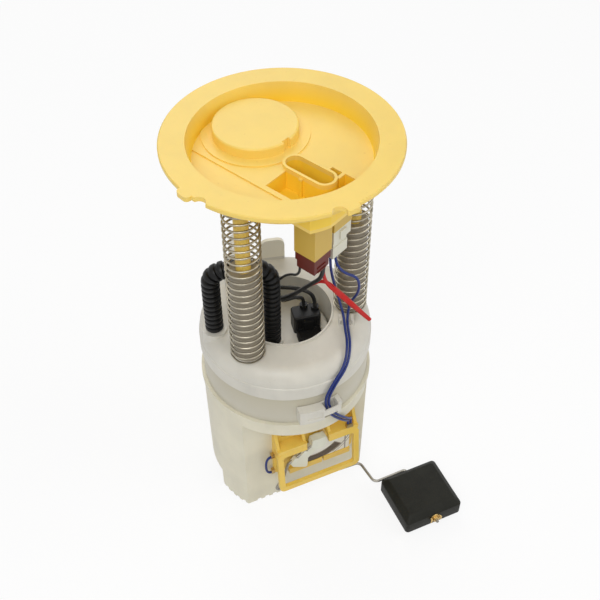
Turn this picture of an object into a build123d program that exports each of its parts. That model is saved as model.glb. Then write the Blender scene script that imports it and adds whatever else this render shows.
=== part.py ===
from build123d import *
import math
import os

os.makedirs("parts", exist_ok=True)

# Fuel pump module in millimetres. Z is up, z = 0 is the foot the pot stands on,
# the level sender faces -Y and the pump stands on the Z axis.

# clearances
running_gap = 0.05
loose_gap = 0.3
seat_gap = 0.2
overcut = 1.0

# stack of the module, from the sender's pivot up
pivot_z = 58.0
sender_headroom = 36.0
pot_rim_depth = 12.0
lid_height = 47.0
flange_stand = 137.0
slide_travel = 40.0

# reservoir pot
pot_foot_radius = 55.0
pot_rim_radius = 56.0
pot_wall = 2.0
pot_floor_z = 19.0
pot_floor_thick = 2.0
pot_rim_lip = 0.8
pot_rim_lip_height = 4.0
foot_pad_radius = 14.0
foot_rib_thick = 2.0
foot_rib_angles = (20, 70, 110, 160, 215, 325)
sender_flat_y = -32.4
skirt_window_angles = (172, 42, 107)
skirt_window_width = 32.0
skirt_window_height = 17.0
skirt_tooth_step = 6.0
skirt_tooth_width = 3.0
skirt_tooth_height = 1.6
foot_valve_inset = 16.167
foot_valve_angle = 34.5085
foot_valve_radius = 8.6
foot_valve_stem_radius = 1.9
foot_valve_ports = 6

# reservoir lid with its filter chamber
lid_top_thick = 2.6
lid_wall = 2.2
lid_shoulder_radius = 10.0
lid_bead_drop = 12.0
lid_bead_height = 11.0
lid_band_inset = 1.4
lid_skirt_depth = 8.0
well_radius = 30.0
well_wall = 2.0
well_lip_width = 1.0
well_lip_height = 1.2
filter_base_thick = 2.5
filter_pleats = 48
tongue_angle = 76.0
tongue_width = 16.0
tongue_thick = 2.6
tongue_height = 17.0

# wire clips
lid_clip_reach = 10.4143
lid_clip_angle = -40.7857
lid_clip_turn = -22.8
lid_clip_width = 9.6
lid_clip_depth = 5.0
lid_clip_height = 6.0
pot_clip_angles = (-105.0, -78.0)
pot_clip_thick = 6.0
pot_clip_channel_angle = -85.0
pot_clip_channel_width = 9.6
pot_clip_low_rise = 4.5
pot_clip_high_drop = 8.0

# telescoping guides
guide_ring_radius = 42.2
guide_angles = {"left": -146.1, "right": -15.9}
sleeve_radius = 8.7
sleeve_bore_radius = 6.9
sleeve_ring_height = 12.0
sleeve_top_drop = 10.5
rod_radius = 4.35
rod_peg_radius = 3.0
rod_foot_radius = 6.4
rod_foot_height = 7.0
spring_wire_radius = 0.65
spring_mean_radius = 10.2
spring_turns = 26

# flange
flange_radius = 67.5
flange_lip_thick = 3.0
recess_draft = 2.4
recess_floor_radius = 50.4
recess_depth = 12.0
flange_wall = 2.0
flange_floor_thick = 2.5
feature_angle = -64.4
cap_centre = (-24.3, 5.0)
cap_radius = 24.7
cap_height = 7.0
cap_wall = 3.6
cap_notch_width = 5.0
cap_notch_depth = 2.0
cap_step_radius = 31.0
cap_step_height = 0.8
front_step_v = -29.0
front_step_depth = 0.8
pocket_u = (10.7, 46.5)
pocket_v = (-26.0, -2.3)
pocket_side_u = (28.0, 46.5)
pocket_side_v = (-4.0, 9.0)
pocket_depth = 12.0
socket_centre = (21.5, -2.3)
socket_length = 34.5
socket_width = 14.0
socket_wall = 1.6
socket_rise = 2.0
pin_count = 5
pin_pitch = 5.2
pin_width = 2.4
pin_thick = 0.8
pin_height = 7.0
lug_angles = (-160.7, -82.4)
lug_width = 9.0
lug_reach = 3.0
notch_step = (9.0, -6.2)
notch_radius = 4.0

# plugs under the flange
plug_box_wall = 1.6
plug_depth = 16.0
pump_box_u = (24.5, 39.5)
pump_box_v = (-19.2, -4.2)
pump_box_drop = 56.0
pump_plug_length = 14.0
sender_box_u = (28.0, 39.5)
sender_box_v = (-2.4, 13.6)
sender_box_drop = 46.0
sender_plug_length = 22.0

# fuel pump
pump_radius = 19.0
pump_case_wall = 1.2
pump_roll = 3.0
pump_lift = 16.0
pump_cover_drop = 23.0
pump_cover_gap = 1.4
pump_cover_thick = 5.0
pump_cover_skirt = 9.0
end_bell_neck = 8.0
connector_centre = (13.5, -2.5)
connector_turn = -10.0
connector_size = (18.0, 12.0, 14.0)
lead_boss_radius = 2.6
hose_nipple_radius = 3.9
hose_nipple_bore = 2.6
shaft_radius = 2.0
armature_radius = 14.6
armature_slots = 8
magnet_inner_radius = 15.4
commutator_radius = 6.0
commutator_length = 8.0
brush_reach = 14.0
impeller_radius = 14.6
impeller_thick = 3.6
impeller_blades = 24
holder_radius = 23.4
holder_wall = 2.0
inlet_x = 7.0
inlet_radius = 5.0
strainer_radius = 17.5

# outlet elbow on the lid
outlet_centre = (-19.0, 40.8)
outlet_angle = 65.7
outlet_radius = 3.945
outlet_bead_radius = 5.0
outlet_post_radius = 6.4
outlet_rise = 9.0
outlet_reach = 29.0
outlet_tip_length = 19.0

# hose
hose_radius = 5.75
hose_bore_radius = 4.3
hose_foot = (-47.2, 2.0)
hose_collar_radius = 7.6
hose_well_end = (-13.5, -10.4)
hose_apex_rise = 54.0
hose_bend = 17.5

# level sender, heights from the pivot
pivot_x = 5.5
pivot_radius = 2.0
sender_x = (-25.0, 35.0)
sender_plate_thick = 3.0
sender_plate_rise = (-27.0, 30.0)
sender_slot = (-9.2, 7.2)
hoop_bar = 4.0
hoop_thick = 3.0
hoop_low_y = -46.0
hoop_high_y = -42.3
hoop_rise = (-35.0, 4.0)
card_x = (-10.0, 32.5)
card_rise = (-26.8, -6.0)
card_thick = 1.0
track_radius = 24.5
track_width = 5.0
track_thick = 0.25
track_angles = (-124.0, -44.0)
wiper_angle = -118.0
lever_y = (-37.9, -39.9)
hub_radius = 5.4

# float and its arm, heights from the pivot
arm_radius = 1.0
arm_y = -39.9
arm_points = (
    (3.0, arm_y, -2.0),
    (-16.4, arm_y, -15.0),
    (-20.0, arm_y, -29.0),
    (-27.0, arm_y, -41.5),
    (40.5, arm_y, -47.2),
    (42.5, -60.0, -46.8),
    (67.5, -60.0, -46.0),
    (67.5, -107.5, -46.0),
)
arm_bends = (4.0, 4.0, 2.6, 4.0, 4.0, 2.2)
float_x = (45.6, 89.2)
float_y = (-103.0, -62.6)
float_rise = (-53.5, -38.5)
float_chamfer = 4.2
float_corner = 2.5

# leads: hand-laid points of each centre line, the last number of a point being its height
# as a share of the drop from the plugs' foot (1) to the lid's top (0)
black_radius = 1.3
red_radius = 1.15
thin_radius = 0.8
blue_radius = 0.85
splice_radius = 2.4
black_points = (
    (9.5, -35.0, 1.0),
    (9.5, -35.0, 0.86),
    (6.0, -25.5, 0.664),
    (-2.2, -11.8, 0.358),
    (-10.0, 4.0, 0.149),
    (-7.0, 11.5, 0.187),
    (2.5, 7.0, 0.2),
    (12.0, 0.0, 0.216),
    (20.0, -2.5, 0.105),
    (20.0, -2.5, -0.03),
)
thin_points = (
    (-3.2, -30.5, 1.0),
    (-3.2, -30.5, 0.896),
    (-6.5, -20.0, 0.799),
    (-7.0, -6.0, 0.522),
    (-17.0, 4.0, 0.284),
    (-20.0, 6.0, -0.015),
    (-20.0, 6.0, -0.268),
)
red_supply_points = (
    (11.2, -30.6, 1.0),
    (11.2, -30.6, 0.851),
    (13.63, -31.34, 0.704),
    (17.13, -32.76, 0.634),
)
red_pump_points = (
    (18.07, -30.44, 0.634),
    (13.5, -28.6, 0.725),
    (6.0, -21.0, 0.582),
    (0.2, -10.0, 0.328),
    (-3.4, -3.0, 0.2),
    (-0.5, 0.5, 0.125),
    (9.0, 1.0, 0.112),
    (13.8, 1.4, 0.06),
    (13.8, 1.4, -0.021),
)
splice_points = (
    (17.6, -31.6, 0.634),
    (39.8, -40.6, 0.194),
)
blue_points_a = (
    (19.0, -31.0, 1.0298),
    (19.0, -31.0, 0.925),
    (22.5, -36.0, 0.843),
    (30.5, -39.4, 0.791),
    (33.5, -36.5, 0.552),
    (32.4, -27.0, 0.284),
    (31.8, -25.4, 0.063),
    (28.6, -33.0, 0.048),
    (25.0, -44.5, 0.028),
)
blue_points_b = (
    (17.4, -27.6, 1.0298),
    (17.4, -27.6, 0.888),
    (20.5, -25.6, 0.642),
    (26.5, -25.6, 0.284),
    (29.4, -25.6, 0.081),
    (26.4, -33.2, 0.066),
    (22.8, -44.7, 0.046),
)
# the sender leads go on down the pot, heights from the pivot
blue_tail_a = (
    (18.5, -54.3, 89.5),
    (8.5, -57.4, 79.0),
    (3.2, -58.0, 67.0),
    (6.8, -57.6, 54.0),
    (13.0, -57.0, 45.0),
    (20.5, -53.5, 34.0),
    (27.0, -46.8, 22.0),
    (29.5, -42.6, 17.0),
    (29.5, -42.6, 11.0),
)
blue_tail_b = (
    (16.3, -54.5, 90.7),
    (6.3, -57.6, 80.2),
    (1.0, -58.2, 68.2),
    (4.9, -57.4, 52.4),
    (11.1, -56.8, 43.4),
    (18.6, -53.3, 32.4),
    (25.1, -46.6, 20.4),
    (27.4, -42.6, 15.4),
    (27.4, -42.6, 11.0),
)
loop_points = (
    (-27.4, -36.2, -5.0),
    (-31.4, -36.2, -5.0),
    (-31.4, -36.2, -23.0),
    (-27.4, -36.2, -23.0),
)

# heights worked out from the stack
sender_ceiling_z = pivot_z + sender_headroom
pot_height = sender_ceiling_z + pot_rim_depth
pot_top_floor = pot_floor_z + pot_floor_thick
lid_top_z = pot_height + lid_height
lid_skirt_z = pot_height - lid_skirt_depth
lid_bead_high_z = lid_top_z - lid_bead_drop
lid_bead_low_z = lid_bead_high_z - lid_bead_height
lid_bead_radius = pot_rim_radius
lid_band_radius = pot_rim_radius - lid_band_inset
chamber_radius = lid_band_radius - lid_wall
pump_cover_radius = well_radius - pump_cover_gap
recess_mouth_radius = recess_floor_radius + recess_draft
chamber_top_z = lid_top_z - lid_top_thick
flange_top_z = lid_top_z + flange_stand
recess_floor_z = flange_top_z - recess_depth
floor_under_z = recess_floor_z - flange_floor_thick
pocket_floor_z = recess_floor_z - pocket_depth
pocket_under_z = pocket_floor_z - flange_floor_thick
sleeve_top_z = floor_under_z - slide_travel - sleeve_top_drop
sleeve_ring_z = sleeve_top_z - sleeve_ring_height
pump_box_low_z = flange_top_z - pump_box_drop
pump_plug_low_z = pump_box_low_z - pump_plug_length
sender_box_low_z = flange_top_z - sender_box_drop
sender_plug_low_z = sender_box_low_z - sender_plug_length
pump_low_z = pot_top_floor + pump_lift
pump_cover_z = lid_top_z - pump_cover_drop
pump_cover_top_z = pump_cover_z + pump_cover_thick
pump_high_z = pump_cover_z - end_bell_neck
pump_bore = pump_radius - pump_case_wall - loose_gap
impeller_z = pump_low_z + 10.0
chamber_z = impeller_z + impeller_thick + loose_gap
chamber_plate_top_z = chamber_z + 7.0
commutator_z = pump_high_z - 20.0
armature_z = (chamber_plate_top_z + 9.0, commutator_z - 3.0)
connector_top_z = pump_cover_top_z + connector_size[2]
plate_front_y = sender_flat_y - sender_plate_thick
card_front_y = plate_front_y - card_thick
hoop_z = (pivot_z + hoop_rise[0], pivot_z + hoop_rise[1])
plate_z = (pivot_z + sender_plate_rise[0], pivot_z + sender_plate_rise[1])
card_z = (pivot_z + card_rise[0], pivot_z + card_rise[1])
float_z = (pivot_z + float_rise[0], pivot_z + float_rise[1])


def round_point(radius, angle):
    turn = math.radians(angle)
    return (radius * math.cos(turn), radius * math.sin(turn))


def hung(points):
    """Lead points whose heights are shares of the drop from the plugs to the lid."""
    drop = pump_plug_low_z - lid_top_z
    return tuple((x, y, lid_top_z + share * drop) for x, y, share in points)


def raised(points):
    """Points whose heights are measured from the sender's pivot."""
    return tuple((x, y, pivot_z + rise) for x, y, rise in points)


guide_points = {side: round_point(guide_ring_radius, angle) for side, angle in guide_angles.items()}
foot_valve_centre = round_point(pot_foot_radius - foot_valve_inset, foot_valve_angle)
lid_clip_centre = round_point(well_radius + lid_clip_reach, lid_clip_angle)
arm_route = raised(arm_points)
black_route = hung(black_points)
thin_route = hung(thin_points)
red_supply_route = hung(red_supply_points)
red_pump_route = hung(red_pump_points)
splice_route = hung(splice_points)
blue_route_a = hung(blue_points_a) + raised(blue_tail_a)
blue_route_b = hung(blue_points_b) + raised(blue_tail_b)
loop_route = raised(loop_points)


def cylinder(radius, low, high, x=0.0, y=0.0):
    base = Cylinder(radius, high - low, align=(Align.CENTER, Align.CENTER, Align.MIN))
    return Pos(x, y, low) * base


def cone(radius_low, radius_high, low, high):
    base = Cone(radius_low, radius_high, high - low, align=(Align.CENTER, Align.CENTER, Align.MIN))
    return Pos(0, 0, low) * base


def ring(outer, inner, low, high, x=0.0, y=0.0):
    return cylinder(outer, low, high, x, y) - cylinder(inner, low - overcut, high + overcut, x, y)


def block(xs, ys, zs):
    size = [abs(pair[1] - pair[0]) for pair in (xs, ys, zs)]
    middle = [(pair[0] + pair[1]) / 2 for pair in (xs, ys, zs)]
    return Pos(*middle) * Box(*size)


def spun(shape, count, start=0.0):
    """Copies of a shape round the Z axis."""
    return [Rot(0, 0, start + index * 360 / count) * shape for index in range(count)]


def turned(shape):
    """Turns a shape from the flange's own u, v axes into the module's frame."""
    return Rot(0, 0, feature_angle) * shape


def y_cylinder(radius, x, z, near, far):
    middle = (near + far) / 2
    return Pos(x, middle, z) * Rot(90, 0, 0) * Cylinder(radius, abs(far - near))


def bent_path(points, bends):
    return FilletPolyline(*points, radius=bends)


def lead_bends(points):
    """Bend radii that leave a tenth of the shorter run straight."""
    bends = []
    for before, here, after in zip(points, points[1:], points[2:]):
        into = Vector(here) - Vector(before)
        out = Vector(after) - Vector(here)
        half = math.radians(into.get_angle(out)) / 2
        bends.append(0.45 * min(into.length, out.length) / math.tan(half))
    return bends


def rod_along(path, radius):
    section = Plane(origin=path @ 0, z_dir=path % 0) * Circle(radius)
    return sweep(section, path=path)


def lead(name, points, radius):
    bends = lead_bends(points)
    path = bent_path(points, bends)
    tube = rod_along(path, radius)
    full = math.pi * radius ** 2 * path.length
    print(f"{name} bends {[round(bend, 1) for bend in bends]}, length {path.length:.1f}, "
          f"volume {tube.volume / full:.3f} of section times length")
    return tube


def d_section(low, high, inset, radius_low, radius_high):
    """Slightly conical body with the sender's flat cut off its front."""
    flat = sender_flat_y + inset
    side = 2 * pot_foot_radius
    ceiling = min(high + overcut, sender_ceiling_z + inset)
    return cone(radius_low, radius_high, low, high) - block((-side, side), (-side, flat), (low - overcut, ceiling))


def pot_radius(z):
    return pot_foot_radius + (pot_rim_radius - pot_foot_radius) * z / pot_height


def skirt_cuts():
    """Windows and teeth round the foot of the pot."""
    inner = pot_foot_radius - pot_wall - 4
    outer = pot_rim_radius + overcut
    half = skirt_window_width / 2
    tooth_half = skirt_tooth_width / 2
    window = block((inner, outer), (-half, half), (-overcut, skirt_window_height))
    tooth = block((inner, outer), (-tooth_half, tooth_half), (-overcut, skirt_tooth_height))
    cuts = [Rot(0, 0, angle) * window for angle in skirt_window_angles]
    first, last = -34.0, 214.0
    count = int((last - first) / skirt_tooth_step)
    cuts += [Rot(0, 0, first + index * skirt_tooth_step) * tooth for index in range(count + 1)]
    for index in range(-6, 7):
        x = index * 2 * skirt_tooth_width
        cuts.append(block((x - tooth_half, x + tooth_half), (sender_flat_y - overcut, sender_flat_y + pot_wall + 1),
                          (-overcut, skirt_tooth_height)))
    return cuts


def reservoir_pot():
    pot = d_section(0, pot_height, 0, pot_radius(0), pot_radius(pot_height))
    lip_inner = pot_rim_radius - pot_wall
    pot += ring(pot_rim_radius + pot_rim_lip, lip_inner, pot_height - pot_rim_lip_height, pot_height)
    brim = pot_height + overcut
    pot -= d_section(pot_top_floor, brim, pot_wall, pot_radius(pot_top_floor) - pot_wall, pot_radius(brim) - pot_wall)
    pot -= d_section(-overcut, pot_floor_z, pot_wall, pot_radius(0) - pot_wall, pot_radius(pot_floor_z) - pot_wall)
    under = d_section(2, pot_floor_z + 1, pot_wall / 2, pot_foot_radius - 1.2, pot_foot_radius - 1.0)
    half = foot_rib_thick / 2
    rib = block((foot_pad_radius - 1, pot_rim_radius), (-half, half), (3, pot_floor_z + 1))
    pot += [cylinder(foot_pad_radius, 0, pot_floor_z + 1)]
    pot += [Rot(0, 0, angle) * rib & under for angle in foot_rib_angles]
    stem = cylinder(foot_valve_stem_radius + 0.4, pot_floor_z - overcut, pot_top_floor + overcut)
    port = cylinder(1.6, pot_floor_z - overcut, pot_top_floor + overcut, 0.65 * foot_valve_radius, 0)
    ports = [Pos(*foot_valve_centre, 0) * hole for hole in [stem, *spun(port, foot_valve_ports)]]
    return pot - skirt_cuts() - ports


def foot_valve():
    top = pot_top_floor + seat_gap
    tip = pot_floor_z - 2.4
    umbrella = cylinder(foot_valve_radius, top, top + 1.2) + cylinder(4.0, top, top + 2.4)
    stem = cylinder(foot_valve_stem_radius, tip, top + 0.5)
    barb = cone(1.2, 2.9, tip, tip + 2.0)
    return Pos(*foot_valve_centre, 0) * (umbrella + stem + barb)


def lid_shell():
    """Domed crown, bead, band and skirt, hollowed for the filter ring round the well."""
    crown = cylinder(lid_bead_radius - 0.6, lid_bead_high_z - 2, lid_top_z)
    crown = fillet(crown.edges().group_by(Axis.Z)[-1], lid_shoulder_radius)
    bead = cylinder(lid_bead_radius, lid_bead_low_z, lid_bead_high_z)
    bead = fillet(bead.edges().filter_by(GeomType.CIRCLE), 1.2)
    band = cylinder(lid_band_radius, pot_height + seat_gap, lid_bead_low_z + 2)
    skirt = cylinder(pot_rim_radius - pot_wall - loose_gap - 0.2, lid_skirt_z, pot_height + 1)
    lip = cylinder(well_radius + well_lip_width, lid_top_z - 1, lid_top_z + well_lip_height)
    cavity = ring(chamber_radius, well_radius + well_wall, lid_skirt_z - overcut, chamber_top_z)
    cavity = fillet(cavity.edges().group_by(Axis.Z)[-1].sort_by(SortBy.RADIUS)[-1], lid_shoulder_radius - lid_wall)
    return crown + bead + band + skirt + lip - cavity


def outlet_axis():
    x, y = outlet_centre
    return Pos(x, y, lid_top_z + outlet_rise) * Rot(0, 0, outlet_angle) * Rot(0, 90, 0)


def outlet_elbow():
    post = cylinder(outlet_post_radius, chamber_top_z, lid_top_z + outlet_rise + outlet_post_radius, *outlet_centre)
    post = fillet(post.edges().group_by(Axis.Z)[-1], outlet_post_radius - 1.5)
    bead = outlet_reach - outlet_tip_length
    nozzle = cylinder(outlet_radius, 0, outlet_reach) + cylinder(outlet_bead_radius, bead - 3, bead)
    return post + outlet_axis() * nozzle


def outlet_bores():
    rise = cylinder(2.5, chamber_top_z - overcut, lid_top_z + outlet_rise, *outlet_centre)
    return [rise, outlet_axis() * cylinder(2.5, 0, outlet_reach + overcut)]


def reservoir_lid():
    lid = lid_shell()
    added = [outlet_elbow()]
    bores = outlet_bores()
    for x, y in guide_points.values():
        added.append(cylinder(sleeve_radius, chamber_top_z + 0.5, sleeve_top_z, x, y))
        bores.append(cylinder(sleeve_bore_radius, lid_top_z + 2, sleeve_ring_z, x, y))
        bores.append(cylinder(rod_radius + running_gap, sleeve_ring_z - 1, sleeve_top_z + overcut, x, y))
    added.append(cylinder(hose_collar_radius, chamber_top_z - 5, lid_top_z + 2.5, *hose_foot))
    added.append(cylinder(hose_nipple_radius, lid_top_z, lid_top_z + 14, *hose_foot))
    bores.append(cylinder(hose_nipple_bore, chamber_top_z - 12, lid_top_z + 20, *hose_foot))
    reach = lid_bead_radius - lid_shoulder_radius + 2
    half = tongue_width / 2
    tongue = block((reach, reach + tongue_thick), (-half, half), (lid_top_z - 5, lid_top_z + tongue_height))
    tongue = fillet(tongue.edges().filter_by(Axis.X).group_by(Axis.Z)[-1], 5.0)
    added.append(Rot(0, 0, tongue_angle) * tongue)
    bores.append(cylinder(well_radius, lid_skirt_z - overcut, lid_top_z + well_lip_height + overcut))
    return lid + added - bores


def filter_base():
    outer = chamber_radius - loose_gap
    plate = ring(outer, well_radius + well_wall + loose_gap, lid_skirt_z, lid_skirt_z + filter_base_thick)
    return plate + ring(outer, outer - 2.1, lid_skirt_z, lid_skirt_z + 2 * filter_base_thick)


def filter_element():
    """Star of pleats: the outline zigzags between two radii."""
    outer = chamber_radius - 4.5
    inner = well_radius + well_wall + 2.0
    step = math.pi / filter_pleats
    star = []
    for index in range(2 * filter_pleats):
        star.append(polar(outer if index % 2 else inner, index * step))
    low = lid_skirt_z + filter_base_thick + loose_gap
    high = chamber_top_z - 6
    pleats = extrude(make_face(Polyline(*star, close=True)), high - low)
    return Pos(0, 0, low) * pleats - cylinder(inner - 0.6, low - overcut, high + overcut)


def lid_wire_clip():
    half = lid_clip_width / 2
    deep = lid_clip_depth / 2
    top = lid_top_z + lid_clip_height
    clip = block((-half, half), (-deep, deep), (lid_top_z, top))
    clip -= block((-half + 1, half - 1), (-deep - 1, deep + 1), (lid_top_z + 1.4, top - 1))
    clip -= block((-half + 1.9, half - 1.9), (-deep - 1, deep + 1), (top - 2, top + 1))
    return Pos(*lid_clip_centre, 0) * Rot(0, 0, lid_clip_turn) * clip


def pot_wire_clip():
    """Curved clip on the lid's band with a bridge that the sender leads pass under."""
    low = pot_height + pot_clip_low_rise
    high = lid_bead_low_z - pot_clip_high_drop
    inner = lid_band_radius + loose_gap
    outer = inner + pot_clip_thick
    first, last = pot_clip_angles
    middle = (first + last) / 2
    half = outer * math.sin(math.radians((last - first) / 2))
    body = ring(outer, inner, low, high) & (
        Rot(0, 0, middle) * block((0, outer + 1), (-half, half), (low, high))
    )
    side = pot_clip_channel_width / 2
    channel = Rot(0, 0, pot_clip_channel_angle)
    body -= channel * block((inner + 0.8, outer - 0.9), (-side, side), (low - 1, high + 1))
    body -= channel * block((inner + 0.8, outer + 1), (-side, side), (low - 1, low + 3))
    body -= channel * block((inner + 0.8, outer + 1), (-side, side), (high - 3, high + 1))
    panel = Rot(0, 0, middle - 4) * block((outer - 0.6, outer + 1), (-5, 5), (low + 3, high - 3))
    return body - panel


def hose_path():
    points = (
        (*hose_foot, lid_top_z + 2.5 + seat_gap),
        (*hose_foot, lid_top_z + hose_apex_rise),
        (*hose_well_end, lid_top_z + hose_apex_rise),
        (*hose_well_end, pump_cover_top_z + 6 + seat_gap),
    )
    return bent_path(points, hose_bend)


def corrugated_hose():
    path = hose_path()
    print(f"corrugated_hose length {path.length:.1f}")
    return rod_along(path, hose_radius) - rod_along(path, hose_bore_radius)


def pump_case():
    case = ring(pump_radius, pump_radius - pump_case_wall, pump_low_z, pump_high_z)
    rolled = ring(pump_radius, pump_radius - pump_roll, pump_high_z - pump_case_wall, pump_high_z)
    return case + rolled + ring(pump_radius, pump_radius - pump_roll, pump_low_z, pump_low_z + pump_case_wall)


def pump_inlet_cover():
    top = impeller_z - 0.4
    body = cylinder(pump_bore, pump_low_z + pump_case_wall + seat_gap, top)
    body += cylinder(pump_radius - pump_roll - 0.5, pump_low_z - 5, pump_low_z + 2)
    body += cylinder(inlet_radius, pump_low_z - 10, pump_low_z, inlet_x, 0)
    body -= cylinder(inlet_radius - 1.8, pump_low_z - 11, top + overcut, inlet_x, 0)
    return body - cylinder(shaft_radius + running_gap, top - 5, top + overcut)


def pump_chamber_plate():
    body = cylinder(pump_bore, chamber_z, chamber_plate_top_z)
    body += ring(pump_bore, impeller_radius + loose_gap, impeller_z - 0.2, chamber_z + 1)
    body -= cylinder(shaft_radius + running_gap, chamber_z - overcut, chamber_plate_top_z + overcut)
    return body - cylinder(2.6, chamber_z - overcut, chamber_plate_top_z + overcut, 0, 10.5)


def motor_magnets():
    low, high = armature_z
    shell = ring(pump_bore, magnet_inner_radius, low - 1, high + 1)
    return shell - block((-4, 4), (-pump_radius, pump_radius), (low - 2, high + 2))


def motor_brushes():
    brush = block((commutator_radius + 0.1, brush_reach), (-2.2, 2.2),
                  (commutator_z + 1, commutator_z + commutator_length - 1))
    return Part() + spun(brush, 2)


def pump_end_bell():
    low = pump_high_z - 12
    body = cylinder(pump_bore, low, pump_high_z - pump_case_wall - seat_gap)
    body += cylinder(pump_radius - pump_roll - 1, pump_high_z - 2, pump_cover_z - seat_gap)
    body += ring(pump_bore, brush_reach + 0.4, commutator_z, low + 1)
    body -= cylinder(shaft_radius + running_gap, low - overcut, pump_high_z - 3)
    return body - cylinder(3.0, low - overcut, pump_cover_z + overcut, -9, -8)


def pump_top_cover():
    cover = cylinder(pump_cover_radius, pump_cover_z, pump_cover_top_z)
    cover = fillet(cover.edges().group_by(Axis.Z)[-1], 1.5)
    cover += ring(pump_cover_radius, pump_cover_radius - 2.2, pump_cover_z - pump_cover_skirt, pump_cover_z + 1)
    web = block((pump_radius - pump_roll, pump_cover_radius - 1), (-1, 1), (pump_cover_z - 6, pump_cover_z + 1))
    cover += spun(web, 4, 45)
    cover += [cylinder(hose_nipple_radius + 3.1, pump_cover_z, pump_cover_top_z + 6, *hose_well_end)]
    cover += [cylinder(hose_nipple_radius, pump_cover_z, pump_cover_top_z + 20, *hose_well_end)]
    return cover - cylinder(hose_nipple_bore, pump_cover_z - 1, pump_cover_top_z + 21, *hose_well_end)


def lead_ends():
    return (black_route[-1], red_pump_route[-1])


def pump_terminals():
    pins = [cylinder(1.4, pump_cover_top_z, connector_top_z - 3, x, y) for x, y, top in lead_ends()]
    return Part() + pins


def pump_connector():
    """Black plug on the pump's top with a latch, grip ribs and two lead bosses."""
    wide, deep, tall = connector_size
    shell = Box(wide, deep, tall - seat_gap, align=(Align.CENTER, Align.CENTER, Align.MIN))
    shell = fillet(shell.edges().filter_by(Axis.Z), 2.0)
    shell = fillet(shell.edges().group_by(Axis.Z)[-1], 1.0)
    latch = block((-3.5, 3.5), (-deep / 2 - 1.6, -deep / 2 + 1), (2, tall - 3))
    ribs = [block((x - 0.5, x + 0.5), (-deep / 2 - 0.6, -deep / 2 + 1), (1, tall - 4)) for x in (-6.6, 6.6)]
    body = Rot(0, 0, connector_turn) * (shell + latch + ribs)
    body = Pos(*connector_centre, pump_cover_top_z + seat_gap) * body
    for x, y, top in lead_ends():
        body += cylinder(lead_boss_radius, pump_cover_top_z + 4, top - running_gap, x, y)
    holes = [cylinder(1.7, pump_cover_top_z, connector_top_z - 2.5, x, y) for x, y, top in lead_ends()]
    return body - holes


def pump_holder():
    inner = holder_radius - holder_wall
    cup = ring(holder_radius, inner, pot_top_floor, pump_low_z + 16)
    cup += ring(holder_radius, pump_radius + 0.4, pot_top_floor + 6.6, pot_top_floor + 9)
    window = block((-holder_radius - 1, holder_radius + 1), (-7, 7), (pot_top_floor - 1, pot_top_floor + 6))
    return cup - [Rot(0, 0, angle) * window for angle in (0, 60, 120)]


def pump_isolator():
    outer = holder_radius - holder_wall - seat_gap
    low = pump_low_z + 4
    body = ring(outer, pump_radius + seat_gap, low, low + 10)
    return body - [ring(outer + 1, outer - 0.7, low + rise, low + rise + 1.4) for rise in (1.6, 4.3, 7.0)]


def inlet_strainer():
    low = pot_top_floor + seat_gap
    bore = inlet_radius + loose_gap
    disc = cylinder(strainer_radius, low, low + 3.4)
    disc = fillet(disc.edges().filter_by(GeomType.CIRCLE), 1.4)
    disc -= cylinder(bore, low + 2.4, low + 6, inlet_x, 0)
    return disc + ring(bore + 1.3, bore, low + 3, pump_low_z - 6, inlet_x, 0)


def motor_shaft():
    return cylinder(shaft_radius, impeller_z - 4, pump_high_z - 4)


def armature():
    low, high = armature_z
    body = cylinder(armature_radius, low, high)
    slot = block((8, armature_radius + 1), (-1.4, 1.4), (low - 1, high + 1))
    slot += cylinder(2.6, low - 1, high + 1, 9.5, 0)
    return body - spun(slot, armature_slots) - cylinder(shaft_radius, low - 1, high + 1)


def commutator():
    high = commutator_z + commutator_length
    body = cylinder(commutator_radius, commutator_z, high) + cylinder(4.0, commutator_z - 2.4, commutator_z + 1)
    slit = block((4, commutator_radius + 1), (-0.3, 0.3), (commutator_z + 1, high + 1))
    return body - spun(slit, armature_slots, 22.5) - cylinder(shaft_radius, commutator_z - 4, high + 1)


def impeller():
    low, high = impeller_z, impeller_z + impeller_thick
    body = cylinder(impeller_radius, low, high)
    gap = block((impeller_radius - 3.2, impeller_radius + 1), (-1.1, 1.1), (low - 1, high + 1))
    return body - spun(gap, impeller_blades) - cylinder(shaft_radius, low - 1, high + 1)


def hoop_plane():
    low = Vector(0, hoop_low_y, hoop_z[0])
    high = Vector(0, hoop_high_y, hoop_z[1])
    up = (high - low).normalized()
    return Plane(origin=low, x_dir=(1, 0, 0), z_dir=Vector(1, 0, 0).cross(up))


def sender_hoop():
    left, right = sender_x
    wide = right - left + 1
    height = math.dist((hoop_low_y, hoop_z[0]), (hoop_high_y, hoop_z[1]))
    outline = RectangleRounded(wide, height, 4.0)
    window = RectangleRounded(wide - 2 * hoop_bar, height - 2 * hoop_bar, 2.0)
    flat = Pos((left + right) / 2, height / 2) * (outline - window)
    return extrude(hoop_plane() * flat, hoop_thick / 2, both=True)


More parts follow.
